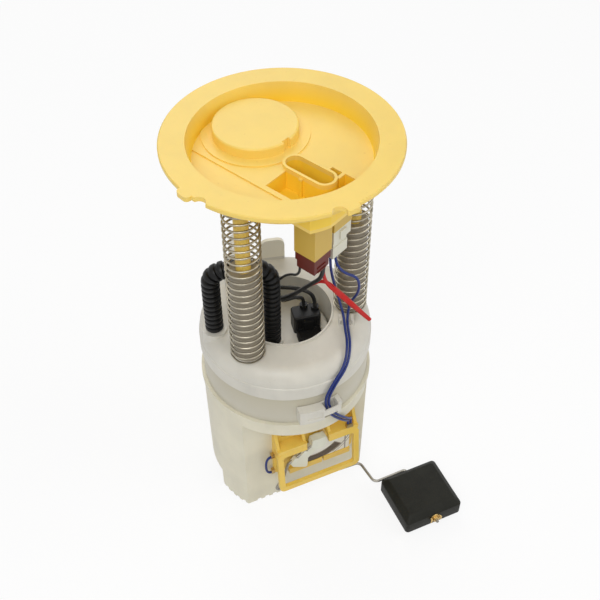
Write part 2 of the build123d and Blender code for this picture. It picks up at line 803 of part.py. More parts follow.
def sender_body():
    left, right = sender_x
    slot_left, slot_right = (pivot_x + side for side in sender_slot)
    plate = block((left, right), (sender_flat_y, plate_front_y), plate_z)
    plate = fillet(plate.edges().filter_by(Axis.Y), 3.0)
    through = (hoop_low_y, 0)
    plate -= block((slot_left, slot_right), through, (pivot_z + 8, plate_z[1] + overcut))
    window_z = (plate_z[1] - 18, plate_z[1] - 6)
    plate -= block((left + 6, slot_left - 4), through, window_z)
    plate -= block((slot_right + 4, right - 6), through, window_z)
    hoop = sender_hoop()
    hoop -= block((slot_left, slot_right), (hoop_low_y - 5, plate_front_y - 1), (pivot_z - 8, hoop_z[1] + 5))
    shelf_z = (hoop_z[1] + 0.6, hoop_z[1] + 3.4)
    hang_y = (hoop_high_y - 1.4, hoop_high_y + 1.0)
    ledge_z = (plate_z[0] - 5.4, card_z[0] - seat_gap)
    ledge_y = (sender_flat_y, card_front_y - 0.6)
    added = [block((-14, 11.2), ledge_y, ledge_z), block((12.6, right - 2), ledge_y, ledge_z)]
    for first, last in ((left, slot_left), (slot_right, right)):
        added.append(block((first, last), (plate_front_y + 1, hang_y[0]), shelf_z))
        added.append(block((first + 0.4, last - 0.4), hang_y, (hoop_z[1] - 2.5, shelf_z[1])))
    web = Polyline((plate_front_y + 0.5, shelf_z[1] - 0.5), (hoop_high_y + 0.5, shelf_z[1] - 0.5),
                   (plate_front_y + 0.5, shelf_z[1] + 14), close=True)
    for x in (left + 1.2, slot_left - 1.2, slot_right + 1.2, right - 1.2):
        side = Plane(origin=(x, 0, 0), x_dir=(0, 1, 0), z_dir=(1, 0, 0)) * make_face(web)
        added.append(extrude(side, 1.1, both=True))
    body = plate + hoop + added
    return body - y_cylinder(pivot_radius, pivot_x, pivot_z, sender_flat_y + 1, plate_front_y - 1)


def resistor_card():
    card = block(card_x, (plate_front_y, card_front_y), card_z)
    return chamfer(card.edges().filter_by(Axis.Y), 1.0)


def polar(radius, angle):
    return (radius * math.cos(angle), radius * math.sin(angle))


def resistor_track():
    outer = track_radius + track_width / 2
    inner = track_radius - track_width / 2
    first, last = (math.radians(angle) for angle in track_angles)
    middle = (first + last) / 2
    edges = [
        ThreePointArc(polar(outer, first), polar(outer, middle), polar(outer, last)),
        Line(polar(outer, last), polar(inner, last)),
        ThreePointArc(polar(inner, last), polar(inner, middle), polar(inner, first)),
        Line(polar(inner, first), polar(outer, first)),
    ]
    place = Plane(origin=(pivot_x, card_front_y, pivot_z), x_dir=(1, 0, 0), z_dir=(0, -1, 0))
    return extrude(place * make_face(edges), track_thick)


def sender_terminals():
    left = sender_x[0]
    tabs = []
    for x, y, z in (loop_route[0], loop_route[-1]):
        tabs.append(block((x, left), (y - 0.4, plate_front_y + 1.4), (z - 2.0, z + 2.0)))
    x, y, z = blue_route_a[-1]
    x_b = blue_route_b[-1][0]
    tabs.append(block((x_b - 1.4, x + 1.4), (y - 1.4, y + 1.2), (hoop_z[1] + 3.4, z)))
    return Part() + tabs


def pivot_pin():
    return y_cylinder(pivot_radius, pivot_x, pivot_z, sender_flat_y - 0.4, lever_y[1] - 2.0)


def arm_path():
    return bent_path(arm_route, arm_bends)


def float_arm():
    return rod_along(arm_path(), arm_radius)


def wiper_lever():
    """Cream lever: square hub tab over the pivot, a narrow arm and two grips for the wire."""
    plane = Plane(origin=(0, lever_y[0], pivot_z), x_dir=(1, 0, 0), z_dir=(0, -1, 0))
    corners = [(0.2, 6.0), (11.2, 6.0), (11.6, -2.5), (-1.2, -16.5), (-1.8, -27.0), (-12.5, -21.0),
               (-15.0, -15.6), (0.2, -1.8)]
    outline = fillet(make_face(Polyline(*corners, close=True)).vertices(), 1.2)
    plate = extrude(plane * outline, lever_y[0] - lever_y[1])
    hub = y_cylinder(hub_radius, pivot_x, pivot_z, lever_y[0] + 0.8, lever_y[1] - 3.2)
    tab = block((pivot_x - 5.0, pivot_x + 5.4), (lever_y[1] + 0.5, lever_y[1] - 3.2), (pivot_z - 1, pivot_z + 6.0))
    grip = Box(3.4, 3.0, 4.6)
    grips = [Pos(x, lever_y[1] - 0.4, pivot_z + z) * Rot(0, 33.8, 0) * grip for x, z in ((-4.6, -7.1), (-11.6, -11.8))]
    body = plate + hub + tab + grips
    body -= rod_along(arm_path(), arm_radius + 0.08)
    return body - y_cylinder(pivot_radius + running_gap, pivot_x, pivot_z, lever_y[0] + 2, lever_y[1] - 2.1)


def wiper_contact():
    reach = lever_y[0] - (card_front_y - track_thick - 0.15)
    strip = []
    for radius in (track_radius - 0.9, track_radius + 0.9):
        strip.append(block((radius - 10, radius + 0.6), (-0.5, 0.5), (0, 0.3)))
        strip.append(block((radius - 0.6, radius + 0.6), (-0.5, 0.5), (0, abs(reach))))
    strip.append(block((track_radius - 13, track_radius - 8), (-2.4, 2.4), (0, 0.4)))
    turn = math.radians(wiper_angle)
    along = (math.cos(turn), 0, math.sin(turn))
    place = Plane(origin=(pivot_x, lever_y[0], pivot_z), x_dir=along, z_dir=(0, 1, 0))
    return place * (Part() + strip)


def float_clip():
    x, y, z = arm_route[-1]
    front = float_y[0] - 0.3
    disc = y_cylinder(3.6, x, z, front, front - 0.8) + y_cylinder(2.2, x, z, front, front - 2.4)
    for side in (-1, 1):
        disc += Pos(x + side * 3.4, front - 1.2, z) * Rot(0, 0, side * 25) * Box(1.0, 2.4, 3.2)
    return disc - y_cylinder(arm_radius + 0.02, x, z, front + 1, front - 5)


def float_body():
    wide = float_x[1] - float_x[0]
    deep = float_y[1] - float_y[0]
    low, high = float_z
    middle = Pos(float_x[0] + wide / 2, float_y[0] + deep / 2, 0)
    full = RectangleRounded(wide, deep, float_corner)
    top = RectangleRounded(wide - 2 * float_chamfer, deep - 2 * float_chamfer, float_corner / 2)
    body = middle * Pos(0, 0, low) * extrude(full, high - float_chamfer - low)
    body = chamfer(body.edges().group_by(Axis.Z)[0], float_corner / 2)
    sections = [middle * Pos(0, 0, high - float_chamfer) * full, middle * Pos(0, 0, high) * top]
    body += loft(sections, ruled=True)
    x, y, z = arm_route[-1]
    return body - y_cylinder(arm_radius + running_gap, x, z, float_y[1] + 5, float_y[0] - 5)


def socket_outline(inset):
    return Pos(*socket_centre) * SlotOverall(socket_length - 2 * inset, socket_width - 2 * inset)


def flange():
    lip = cylinder(flange_radius, flange_top_z - flange_lip_thick, flange_top_z)
    lip = fillet(lip.edges().filter_by(GeomType.CIRCLE), 0.8)
    body = lip + cylinder(recess_mouth_radius + flange_wall, floor_under_z, flange_top_z - 1)
    half = lug_width / 2
    lip_z = (flange_top_z - flange_lip_thick, flange_top_z)
    lug = block((flange_radius - 5, flange_radius + lug_reach), (-half, half), lip_z)
    lug = fillet(lug.edges().filter_by(Axis.Z).group_by(Axis.X)[-1], 2.5)
    notch = cylinder(notch_radius, floor_under_z, flange_top_z + 1, flange_radius + 0.8, 0)
    body += [Rot(0, 0, angle) * lug for angle in lug_angles]
    body -= [Rot(0, 0, angle + step) * notch for angle, step in zip(lug_angles, notch_step)]
    body -= cone(recess_floor_radius, recess_mouth_radius, recess_floor_z, flange_top_z)
    body += turned(flange_top_features())
    body -= [turned(cut) for cut in flange_pockets()]
    body += turned(connector_shroud())
    peg_hole = [cylinder(rod_peg_radius + running_gap, floor_under_z - 1, recess_floor_z - 1.5, x, y)
                for x, y in guide_points.values()]
    return body - peg_hole


def flange_top_features():
    """Round cap, its low step, the shell of the socket pocket and the two plug boxes."""
    top = recess_floor_z + cap_height
    cap = cylinder(cap_radius, recess_floor_z - 1, top, *cap_centre)
    cap = fillet(cap.edges().group_by(Axis.Z)[-1], 1.2)
    edge = cap_centre[0] + cap_radius
    half = cap_notch_width / 2
    cap -= block((edge - cap_notch_depth, edge + 2), (cap_centre[1] - 1 - half, cap_centre[1] - 1 + half),
                 (recess_floor_z + cap_step_height, top + 1))
    step = cylinder(cap_step_radius, recess_floor_z - 0.5, recess_floor_z + cap_step_height, *cap_centre)
    step &= cylinder(recess_floor_radius - 0.1, recess_floor_z - 1, recess_floor_z + 3)
    low_u = socket_centre[0] - socket_length / 2 - flange_wall
    shell = block((low_u, pocket_u[1] + flange_wall), (pocket_v[0] - flange_wall, pocket_side_v[1] + flange_wall),
                  (pocket_under_z, recess_floor_z - 0.5))
    shell &= cylinder(recess_floor_radius + 1, pocket_under_z - 1, recess_floor_z)
    pump_box = block(pump_box_u, pump_box_v, (pump_box_low_z, pocket_under_z + 1))
    sender_box = block(sender_box_u, sender_box_v, (sender_box_low_z, pocket_under_z + 1))
    return cap + step + shell + pump_box + sender_box


def plug_cavity(us, vs, low):
    inner = [(pair[0] + plug_box_wall, pair[1] - plug_box_wall) for pair in (us, vs)]
    return block(*inner, (low - overcut, low + plug_depth))


def flange_pockets():
    above = recess_floor_z + 3
    pocket = block(pocket_u, pocket_v, (pocket_floor_z, above))
    pocket += block(pocket_side_u, pocket_side_v, (pocket_floor_z, above))
    pocket &= cylinder(recess_floor_radius - 0.4, pocket_floor_z - 1, above)
    inside = Pos(0, 0, pocket_floor_z) * extrude(socket_outline(socket_wall), above - pocket_floor_z)
    side = recess_mouth_radius + flange_wall
    front = block((-side, pocket_u[1]), (-side, front_step_v), (recess_floor_z - front_step_depth, above))
    front &= cylinder(recess_floor_radius - 0.2, recess_floor_z - 3, above)
    under_cap = cylinder(cap_radius - cap_wall, floor_under_z - 1, recess_floor_z + cap_height - flange_wall,
                         *cap_centre)
    return [pocket, inside, front, under_cap, plug_cavity(pump_box_u, pump_box_v, pump_box_low_z),
            plug_cavity(sender_box_u, sender_box_v, sender_box_low_z)]


def connector_shroud():
    """Oval shroud round the pins, with a key rib down its front and a stay to the pocket's side."""
    low = pocket_floor_z - 1
    high = recess_floor_z + socket_rise
    wall = socket_outline(0) - socket_outline(socket_wall)
    shroud = Pos(0, 0, low) * extrude(wall, high - low)
    x, y = socket_centre
    front = y - socket_width / 2
    back = y + socket_width / 2
    key = block((x - 1.2, x + 1.2), (front - 1.4, front + 0.6), (low, high - 2))
    stay = block((pocket_side_u[0] + 7, pocket_side_u[0] + 9), (back - 1, pocket_side_v[1] + 1), (low, recess_floor_z))
    return shroud + key + stay


def connector_pins():
    u, v = socket_centre
    pin = block((u - pin_width / 2, u + pin_width / 2), (v - pin_thick / 2, v + pin_thick / 2),
                (pocket_floor_z, pocket_floor_z + pin_height))
    pin = chamfer(pin.edges().group_by(Axis.Z)[-1].filter_by(Axis.Y), 0.7)
    row = [Pos((index - (pin_count - 1) / 2) * pin_pitch, 0, 0) * pin for index in range(pin_count)]
    return turned(Part() + row)


def guide_rod(side):
    x, y = guide_points[side]
    foot_top = sleeve_ring_z - loose_gap
    foot_low = foot_top - rod_foot_height
    rod = cylinder(rod_radius, foot_low, floor_under_z, x, y)
    rod += cylinder(rod_peg_radius, floor_under_z - 1, recess_floor_z - 1.7, x, y)
    foot = cylinder(rod_foot_radius, foot_low, foot_top, x, y)
    rod += chamfer(foot.edges().group_by(Axis.Z)[0], 1.6)
    slot = block((x - 1, x + 1), (y - 10, y + 10), (foot_low - 1, foot_top + 8))
    return rod - slot


def spring(side):
    x, y = guide_points[side]
    low = lid_top_z + spring_wire_radius + 0.1
    high = floor_under_z - spring_wire_radius - 0.1
    coil = Helix((high - low) / spring_turns, high - low, spring_mean_radius)
    section = Plane(origin=coil @ 0, z_dir=coil % 0) * Circle(spring_wire_radius)
    return Pos(x, y, low) * sweep(section, path=coil, is_frenet=True)


def shrunk(pair, gap):
    return (pair[0] + gap, pair[1] - gap)


def pump_plug():
    low = pump_box_low_z
    gap = plug_box_wall + loose_gap
    us = shrunk(pump_box_u, gap)
    vs = shrunk(pump_box_v, gap)
    body = block(us, vs, (low - 2, low + plug_depth - 1))
    body += block(shrunk(pump_box_u, 0.4), shrunk(pump_box_v, 0.4), (low - 6, low - seat_gap))
    tail = block(shrunk(us, -0.8), shrunk(vs, -0.8), (pump_plug_low_z, low - 5))
    body += chamfer(tail.edges().group_by(Axis.Z)[0], 2.0)
    for drop in (8.0, 11.0):
        body += block(shrunk(us, -1.3), shrunk(vs, 2), (low - drop - 0.8, low - drop))
    return turned(body)


def sender_plug():
    low = sender_box_low_z
    gap = plug_box_wall + loose_gap
    us = shrunk(sender_box_u, gap)
    vs = shrunk(sender_box_v, gap)
    body = block(us, vs, (sender_plug_low_z + 2, low + plug_depth - 1))
    body += block(shrunk(sender_box_u, 0.3), shrunk(sender_box_v, 0.3), (low - 9, low - seat_gap))
    body += block((us[1] - 0.5, us[1] + 2.6), shrunk(vs, 3.5), (low - 8, low - 2))
    body += block(shrunk(us, -0.4), shrunk(vs, -0.4), (sender_plug_low_z, low - 14))
    return turned(body)


nodes = {
    "reservoir_pot": reservoir_pot,
    "foot_valve": foot_valve,
    "reservoir_lid": reservoir_lid,
    "filter_base": filter_base,
    "filter_element": filter_element,
    "lid_wire_clip": lid_wire_clip,
    "pot_wire_clip": pot_wire_clip,
    "corrugated_hose": corrugated_hose,
    "pump_case": pump_case,
    "pump_inlet_cover": pump_inlet_cover,
    "pump_chamber_plate": pump_chamber_plate,
    "motor_magnets": motor_magnets,
    "motor_brushes": motor_brushes,
    "pump_end_bell": pump_end_bell,
    "pump_top_cover": pump_top_cover,
    "pump_terminals": pump_terminals,
    "pump_connector": pump_connector,
    "pump_holder": pump_holder,
    "pump_isolator": pump_isolator,
    "inlet_strainer": inlet_strainer,
    "motor_shaft": motor_shaft,
    "armature": armature,
    "commutator": commutator,
    "impeller": impeller,
    "sender_body": sender_body,
    "resistor_card": resistor_card,
    "resistor_track": resistor_track,
    "sender_terminals": sender_terminals,
    "pivot_pin": pivot_pin,
    "float_arm": float_arm,
    "wiper_lever": wiper_lever,
    "wiper_contact": wiper_contact,
    "float_clip": float_clip,
    "float": float_body,
    "flange": flange,
    "connector_pins": connector_pins,
    "guide_rod_left": lambda: guide_rod("left"),
    "guide_rod_right": lambda: guide_rod("right"),
    "spring_left": lambda: spring("left"),
    "spring_right": lambda: spring("right"),
    "pump_plug": pump_plug,
    "sender_plug": sender_plug,
    "black_lead": lambda: lead("black_lead", black_route, black_radius),
    "thin_lead": lambda: lead("thin_lead", thin_route, thin_radius),
    "red_supply_lead": lambda: lead("red_supply_lead", red_supply_route, red_radius),
    "red_pump_lead": lambda: lead("red_pump_lead", red_pump_route, red_radius),
    "splice_sleeve": lambda: rod_along(Line(*splice_route), splice_radius),
    "blue_lead_a": lambda: lead("blue_lead_a", blue_route_a, blue_radius),
    "blue_lead_b": lambda: lead("blue_lead_b", blue_route_b, blue_radius),
    "sender_loop_lead": lambda: lead("sender_loop_lead", loop_route, blue_radius),
}

for name, make in nodes.items():
    shape = make()
    solids = shape.solids()
    print(f"{name}: {len(solids)} solids, {sum(solid.volume for solid in solids):.0f} mm3")
    export_step(shape, f"parts/{name}.step")
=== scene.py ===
import math

import bpy
from mathutils import Matrix, Vector


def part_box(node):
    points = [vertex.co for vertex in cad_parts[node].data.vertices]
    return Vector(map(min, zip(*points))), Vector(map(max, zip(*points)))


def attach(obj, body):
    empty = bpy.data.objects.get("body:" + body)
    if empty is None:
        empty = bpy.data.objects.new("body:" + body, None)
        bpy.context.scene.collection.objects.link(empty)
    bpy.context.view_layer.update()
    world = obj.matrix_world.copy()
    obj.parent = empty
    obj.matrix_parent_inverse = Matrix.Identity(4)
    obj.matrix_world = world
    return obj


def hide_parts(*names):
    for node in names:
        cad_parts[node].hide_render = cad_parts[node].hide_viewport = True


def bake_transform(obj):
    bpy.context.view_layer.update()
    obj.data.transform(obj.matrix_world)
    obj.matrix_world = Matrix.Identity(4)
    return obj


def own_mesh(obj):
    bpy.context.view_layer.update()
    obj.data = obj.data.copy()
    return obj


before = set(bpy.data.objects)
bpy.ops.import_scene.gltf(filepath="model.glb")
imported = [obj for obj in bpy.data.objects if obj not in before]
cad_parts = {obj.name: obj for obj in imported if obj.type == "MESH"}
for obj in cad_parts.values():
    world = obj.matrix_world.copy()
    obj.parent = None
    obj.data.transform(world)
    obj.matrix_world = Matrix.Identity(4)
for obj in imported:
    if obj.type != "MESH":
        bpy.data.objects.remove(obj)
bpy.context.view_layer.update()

bl_info = {
    "name": "Fuel pump module",
    "version": (1, 0, 0),
    "blender": (4, 5, 0),
    "location": "3D View > Sidebar > Fuel pump",
    "description": "Dresses the packed fuel pump module: hose, springs, leads, float, boot and finishes",
    "category": "Object",
}

MM = 0.001

# Routes of the centre lines, in millimetres, as the solids have them.
HOSE_ROUTE = (
    (-47.2, 2.0, 155.7), (-47.5, 2.1, 184.0), (-47.2, 2.0, 207.0),
    (-13.5, -10.4, 207.0), (-13.2, -10.5, 181.0), (-13.5, -10.4, 141.2),
)
BLACK_ROUTE = (
    (9.5, -35.0, 220.0), (9.5, -35.0, 210.6), (6.0, -25.5, 197.5), (-2.2, -11.8, 177.0),
    (-10.0, 4.0, 163.0), (-7.0, 11.5, 165.5), (2.5, 7.0, 166.4), (12.0, 0.0, 167.5),
    (20.0, -2.5, 160.0), (20.0, -2.5, 151.0),
)
THIN_ROUTE = (
    (-3.2, -30.5, 220.0), (-3.2, -30.5, 213.0), (-6.5, -20.0, 206.5), (-7.0, -6.0, 188.0),
    (-17.0, 4.0, 172.0), (-20.0, 6.0, 152.0), (-20.0, 6.0, 135.05),
)
RED_SUPPLY_ROUTE = (
    (11.2, -30.6, 220.0), (11.2, -30.6, 210.0), (13.63, -31.34, 200.16), (17.13, -32.76, 195.5),
)
RED_PUMP_ROUTE = (
    (18.07, -30.44, 195.5), (13.5, -28.6, 201.6), (6.0, -21.0, 192.0), (0.2, -10.0, 175.0),
    (-3.4, -3.0, 166.4), (-0.5, 0.5, 161.4), (9.0, 1.0, 160.5), (13.8, 1.4, 157.0), (13.8, 1.4, 151.6),
)
SPLICE_ENDS = ((17.6, -31.6, 195.5), (39.8, -40.6, 166.0))
BLUE_A_ROUTE = (
    (19.0, -31.0, 222.0), (19.0, -31.0, 215.0), (22.5, -36.0, 209.5), (30.5, -39.4, 206.0),
    (33.5, -36.5, 190.0), (32.4, -27.0, 172.0), (31.8, -25.4, 157.2), (28.6, -33.0, 156.2),
    (25.0, -44.5, 154.9), (18.5, -54.3, 147.5), (8.5, -57.4, 137.0), (3.2, -58.0, 125.0),
    (6.8, -57.6, 112.0), (13.0, -57.0, 103.0), (20.5, -53.5, 92.0), (27.0, -46.8, 80.0),
    (29.5, -42.6, 75.0), (29.5, -42.6, 69.0),
)
BLUE_B_ROUTE = (
    (17.4, -27.6, 222.0), (17.4, -27.6, 212.5), (20.5, -25.6, 196.0), (26.5, -25.6, 172.0),
    (29.4, -25.6, 158.4), (26.4, -33.2, 157.4), (22.8, -44.7, 156.1), (16.3, -54.5, 148.7),
    (6.3, -57.6, 138.2), (1.0, -58.2, 126.2), (4.9, -57.4, 110.4), (11.1, -56.8, 101.4),
    (18.6, -53.3, 90.4), (25.1, -46.6, 78.4), (27.4, -42.6, 73.4), (27.4, -42.6, 69.0),
)
LOOP_ROUTE = (
    (-27.4, -36.2, 53.0), (-31.4, -36.2, 53.0), (-31.4, -36.2, 35.0), (-27.4, -36.2, 35.0),
)

# Places on the solids, in millimetres.
GUIDES = ((-35.03, -23.54), (40.58, -11.56))  # x and y of the two guide sleeves
PIVOT = (5.5, 58.0)  # x and z of the sender's pivot
FLOAT_BORE = (67.5, 12.0)  # x and z of the wire through the float
CONNECTOR = (13.5, -2.5, 135.0)
CONNECTOR_TURN = -10.0

# Diameters of the leads, and the slide heights given to the pump's and the sender's leads, in metres.
THICK_LEAD = 0.0026
THIN_LEAD = 0.0016
RED_LEAD = 0.0023
BLUE_LEAD = 0.0017
PUMP_SLIDE = (0.152, 0.216)
SENDER_SLIDE = (0.160, 0.218)

# Small sizes of the pieces, in metres.
SPLICE_RADIUS = 0.0019
SPLICE_EDGE = 0.0006
FLOAT_BORE_RADIUS = 0.00112
FLOAT_EDGE = 0.0007
BOOT_CORNER = 0.0022
BOOT_LIP = 0.0013
BOOT_SINK = 0.0011
BOOT_EDGE = 0.0004

# Limits of the zones where a piece changes its tint, in metres.
SLEEVE_REACH = 0.0092
SLEEVE_FOOT = 0.1542
BAND_REACH = 0.0547
BAND_HEIGHTS = (0.112, 0.130)
BEAD_UNDERSIDE = 0.1301
TONGUE_CORNER = (-0.004, 0.025, 0.1548)
POCKET_REACH = 0.0503
POCKET_HEIGHTS = (0.2657, 0.2770)
DISH_WALL = (0.0515, 0.0014)  # radius and half width
DISH_HEIGHTS = (0.2895, 0.2800)
HOUSING_HEIGHTS = (0.2635, 0.2600)
TUBING_Y = -0.0185
COMB = (0.0245, 0.0038)  # radius and half width of the printed fingers
COMB_ANGLES = (-1.466, 0.73)  # middle and half spread, in radians
COMB_FINGERS = 240.0
CARD_LINES = ((0.0288, 0.00045), (0.0308, 0.0003))  # radius and half width
CARD_LINES_FROM = 0.0195
CARD_STRIP = (0.0292, 0.0005)  # x and half width

CAMERA_PLACE = (-0.1675, -0.3944, 0.6091)
CAMERA_TILT = 43.794
CAMERA_TURN = -24.305
LAMP_AIM = (0.0, 0.0, 0.14)
LAMPS = (  # name, place, size in metres, watts
    ("key", (-0.55, -0.75, 1.25), 1.0, 9.4),
    ("fill", (0.95, -0.55, 0.85), 1.1, 4.4),
    ("back", (0.1, 0.95, 1.1), 1.0, 4.4),
)
FLOOR_SIDE = 3.0
FLOOR_WHITE = 0.85
SKY_STRENGTH = 0.35
INK_BLACK = (0.012, 0.012, 0.012)


class FuelModuleSizes(bpy.types.PropertyGroup):
    hose_diameter: bpy.props.FloatProperty(
        name="Hose diameter", description="Outside diameter over the hose's rings",
        default=0.0115, unit="LENGTH")
    hose_ring_pitch: bpy.props.FloatProperty(
        name="Hose ring pitch", description="Distance from ring to ring along the hose",
        default=0.0039, unit="LENGTH")
    hose_ring_depth: bpy.props.FloatProperty(
        name="Hose ring depth", description="Depth of the groove between two rings",
        default=0.0011, unit="LENGTH")
    spring_wire: bpy.props.FloatProperty(
        name="Spring wire", description="Wire diameter of the two springs",
        default=0.0013, unit="LENGTH")
    spring_mean_radius: bpy.props.FloatProperty(
        name="Spring radius", description="Radius of the springs at the wire's centre",
        default=0.0102, unit="LENGTH")
    spring_turns: bpy.props.IntProperty(
        name="Spring turns", description="Turns of each spring", default=26)
    float_chamfer: bpy.props.FloatProperty(
        name="Float chamfer", description="Chamfer round the top of the float",
        default=0.0042, unit="LENGTH")
    float_corner: bpy.props.FloatProperty(
        name="Float corner", description="Radius of the float's upright corners",
        default=0.0025, unit="LENGTH")
    boot: bpy.props.FloatVectorProperty(
        name="Connector boot", description="Width, depth and height of the connector's boot",
        default=(0.016, 0.010, 0.0042), unit="LENGTH")
    boot_reach: bpy.props.FloatProperty(
        name="Boot reach", description="From the connector's centre to the boot's centre",
        default=0.0105, unit="LENGTH")
    camera_lens: bpy.props.FloatProperty(
        name="Camera lens", description="Focal length of the camera in millimetres",
        default=58.46)


class FuelModuleColours(bpy.types.PropertyGroup):
    flange: bpy.props.FloatVectorProperty(
        name="Yellow plastic", description="Flange", default=(0.92, 0.66, 0.15), subtype="COLOR")
    # A deeper, darker copy of the flange's yellow: partly the parts' own colour, partly painted shade
    # under the flange.
    amber: bpy.props.FloatVectorProperty(
        name="Amber plastic", description="Plug housings, guide rods and sender frame",
        default=(0.85, 0.58, 0.10), subtype="COLOR")
    pot: bpy.props.FloatVectorProperty(
        name="Milky plastic", description="Reservoir pot", default=(0.75, 0.71, 0.56), subtype="COLOR")
    lid: bpy.props.FloatVectorProperty(
        name="White plastic", description="Lid, sleeves and clips", default=(0.67, 0.645, 0.57),
        subtype="COLOR")
    hose: bpy.props.FloatVectorProperty(
        name="Hose", description="Corrugated hose", default=(0.007, 0.007, 0.007), subtype="COLOR")
    float_rubber: bpy.props.FloatVectorProperty(
        name="Float", description="Cellular rubber of the float", default=(0.012, 0.012, 0.009),
        subtype="COLOR")
    pump_plug: bpy.props.FloatVectorProperty(
        name="Pump plug", description="Maroon plug under the flange", default=(0.125, 0.013, 0.006),
        subtype="COLOR")
    red: bpy.props.FloatVectorProperty(
        name="Red insulation", description="Red leads and splice sleeve", default=(0.52, 0.008, 0.005),
        subtype="COLOR")
    blue: bpy.props.FloatVectorProperty(
        name="Blue insulation", description="Leads of the level sender", default=(0.011, 0.027, 0.17),
        subtype="COLOR")
    spring: bpy.props.FloatVectorProperty(
        name="Spring steel", description="The two springs", default=(0.46, 0.42, 0.33), subtype="COLOR")


class Value:
    """A socket of a finish; arithmetic on it adds Math nodes."""

    def __init__(self, finish, socket):
        self.finish = finish
        self.socket = socket

    def math(self, operation, first, second):
        return self.finish.node("ShaderNodeMath", {"operation": operation}, {0: first, 1: second})

    def __add__(self, other):
        return self.math("ADD", self, other)

    def __radd__(self, other):
        return self.math("ADD", other, self)

    def __sub__(self, other):
        return self.math("SUBTRACT", self, other)

    def __rsub__(self, other):
        return self.math("SUBTRACT", other, self)

    def __mul__(self, other):
        return self.math("MULTIPLY", self, other)

    def __rmul__(self, other):
        return self.math("MULTIPLY", other, self)

    def __lt__(self, other):
        return self.math("LESS_THAN", self, other)

    def __gt__(self, other):
        return self.math("GREATER_THAN", self, other)

    def near(self, middle, half):
        """One where the value is within half of the middle, nought elsewhere."""
        return self.finish.node("ShaderNodeMath", {"operation": "COMPARE"}, {
            0: self, 1: middle, 2: half})


class Finish:
    """One procedural material round a Principled shader."""

    def __init__(self, name, **uniform):
        self.material = bpy.data.materials.new(name)
        self.material.use_nodes = True
        self.tree = self.material.node_tree
        self.surface = self.tree.nodes["Principled BSDF"]
        for socket, value in uniform.items():
            self.surface.inputs[socket.replace("_", " ")].default_value = value

    def node(self, kind, settings=None, sockets=None, out=0):
        made = self.tree.nodes.new(kind)
        for key, value in (settings or {}).items():
            if key == "stops":
                ramp = made.color_ramp
                while len(ramp.elements) < len(value):
                    ramp.elements.new(0.5)
                for element, (place, colour) in zip(ramp.elements, value):
                    element.position = place
                    element.color = colour
            else:
                setattr(made, key, value)
        for key, value in (sockets or {}).items():
            if isinstance(value, Value):
                self.tree.links.new(value.socket, made.inputs[key])
            else:
                made.inputs[key].default_value = value
        return Value(self, made.outputs[out])

    def feed(self, socket, value):
        self.tree.links.new(value.socket, self.surface.inputs[socket])

    def place(self):
        return self.node("ShaderNodeTexCoord", out=3)

    def axes(self):
        """The place's x, y and z."""
        first = self.node("ShaderNodeSeparateXYZ", None, {0: self.place()})
        return [Value(self, socket) for socket in first.socket.node.outputs]

    def reach(self, axis="Z", centre=(0.0, 0.0, 0.0)):
        """Distance from a line through the centre along the axis."""
        flatten = [0.0 if letter == axis else 1.0 for letter in "XYZ"]
        flat = self.node("ShaderNodeMapping", None, {"Vector": self.place(), "Scale": flatten})
        return self.node("ShaderNodeVectorMath", {"operation": "DISTANCE"}, {0: flat, 1: centre}, out=1)

    def span(self, value, limits, low=0.0, high=1.0):
        """Straight change from low to high while the value goes from limit to limit."""
        return self.node("ShaderNodeMapRange", None, {
            "Value": value, "From Min": limits[0], "From Max": limits[1],
            "To Min": low, "To Max": high})

    def noise(self, scale, detail=3.0, rough=0.5, place=None):
        return self.node("ShaderNodeTexNoise", None, {
            "Vector": place or self.place(), "Scale": scale, "Detail": detail, "Roughness": rough})

    def ramp(self, value, low, high):
        return self.node("ShaderNodeValToRGB", {"stops": (
            (low, (0, 0, 0, 1)), (high, (1, 1, 1, 1)))}, {0: value})

    def mix(self, factor, first, second):
        colours = [c if isinstance(c, Value) else (*c[:3], 1.0) for c in (first, second)]
        return self.node("ShaderNodeMix", {"data_type": "RGBA"}, {
            0: factor, 6: colours[0], 7: colours[1]}, out=2)

    def paint(self, body, patches):
        """Tints the body's colour in each patch's zone."""
        for zone, tint in patches:
            body = self.mix(zone(self), body, tint)
        return body

    def bump(self, height, strength, distance):
        self.feed("Normal", self.node("ShaderNodeBump", None, {
            "Height": height, "Strength": strength, "Distance": distance}))


def shade(colour, amount):
    return tuple(channel * amount for channel in colour[:3])


def sleeve_shade_zone(finish):
    """The guide sleeves that stand up from the lid: painted shade, where the springs shade them."""
    height = finish.axes()[2]
    left, right = (finish.reach(centre=(x * MM, y * MM, 0.0)) < SLEEVE_REACH for x, y in GUIDES)
    return (left + right) * (height > SLEEVE_FOOT)


def band_shade_zone(finish):
    """The lid's sunken band: painted shade, darkest just under the bead."""
    height = finish.axes()[2]
    depth = finish.span(height, BAND_HEIGHTS, 0.55, 1.0)
    return depth * (height < BEAD_UNDERSIDE) * (finish.reach() < BAND_REACH)


def tongue_light_zone(finish):
    """The thin tongue at the back of the lid: painted light, lighter than the rest of the lid."""
    x, y, z = (value > limit for value, limit in zip(finish.axes(), TONGUE_CORNER))
    return x * y * z


def dish_light_zone(finish):
    """Painted light: thin walls of the flange painted to glow amber, the socket's pocket, and less so
    the dish's wall.
    """
    height = finish.axes()[2]
    reach = finish.reach()
    above = height > POCKET_HEIGHTS[0]
    pocket = (height < POCKET_HEIGHTS[1]) * above * (reach < POCKET_REACH)
    deep = finish.span(height, DISH_HEIGHTS, 0.0, 0.8)
    return pocket * 0.85 + reach.near(*DISH_WALL) * above * deep


def housing_zone(finish):
    """The plug housings under the flange, in its shade."""
    return finish.span(finish.axes()[2], HOUSING_HEIGHTS)


def tubing_zone(finish):
    """The red pump lead's stretch in black tubing, from behind the splice to the pump."""
    return finish.axes()[1] > TUBING_Y


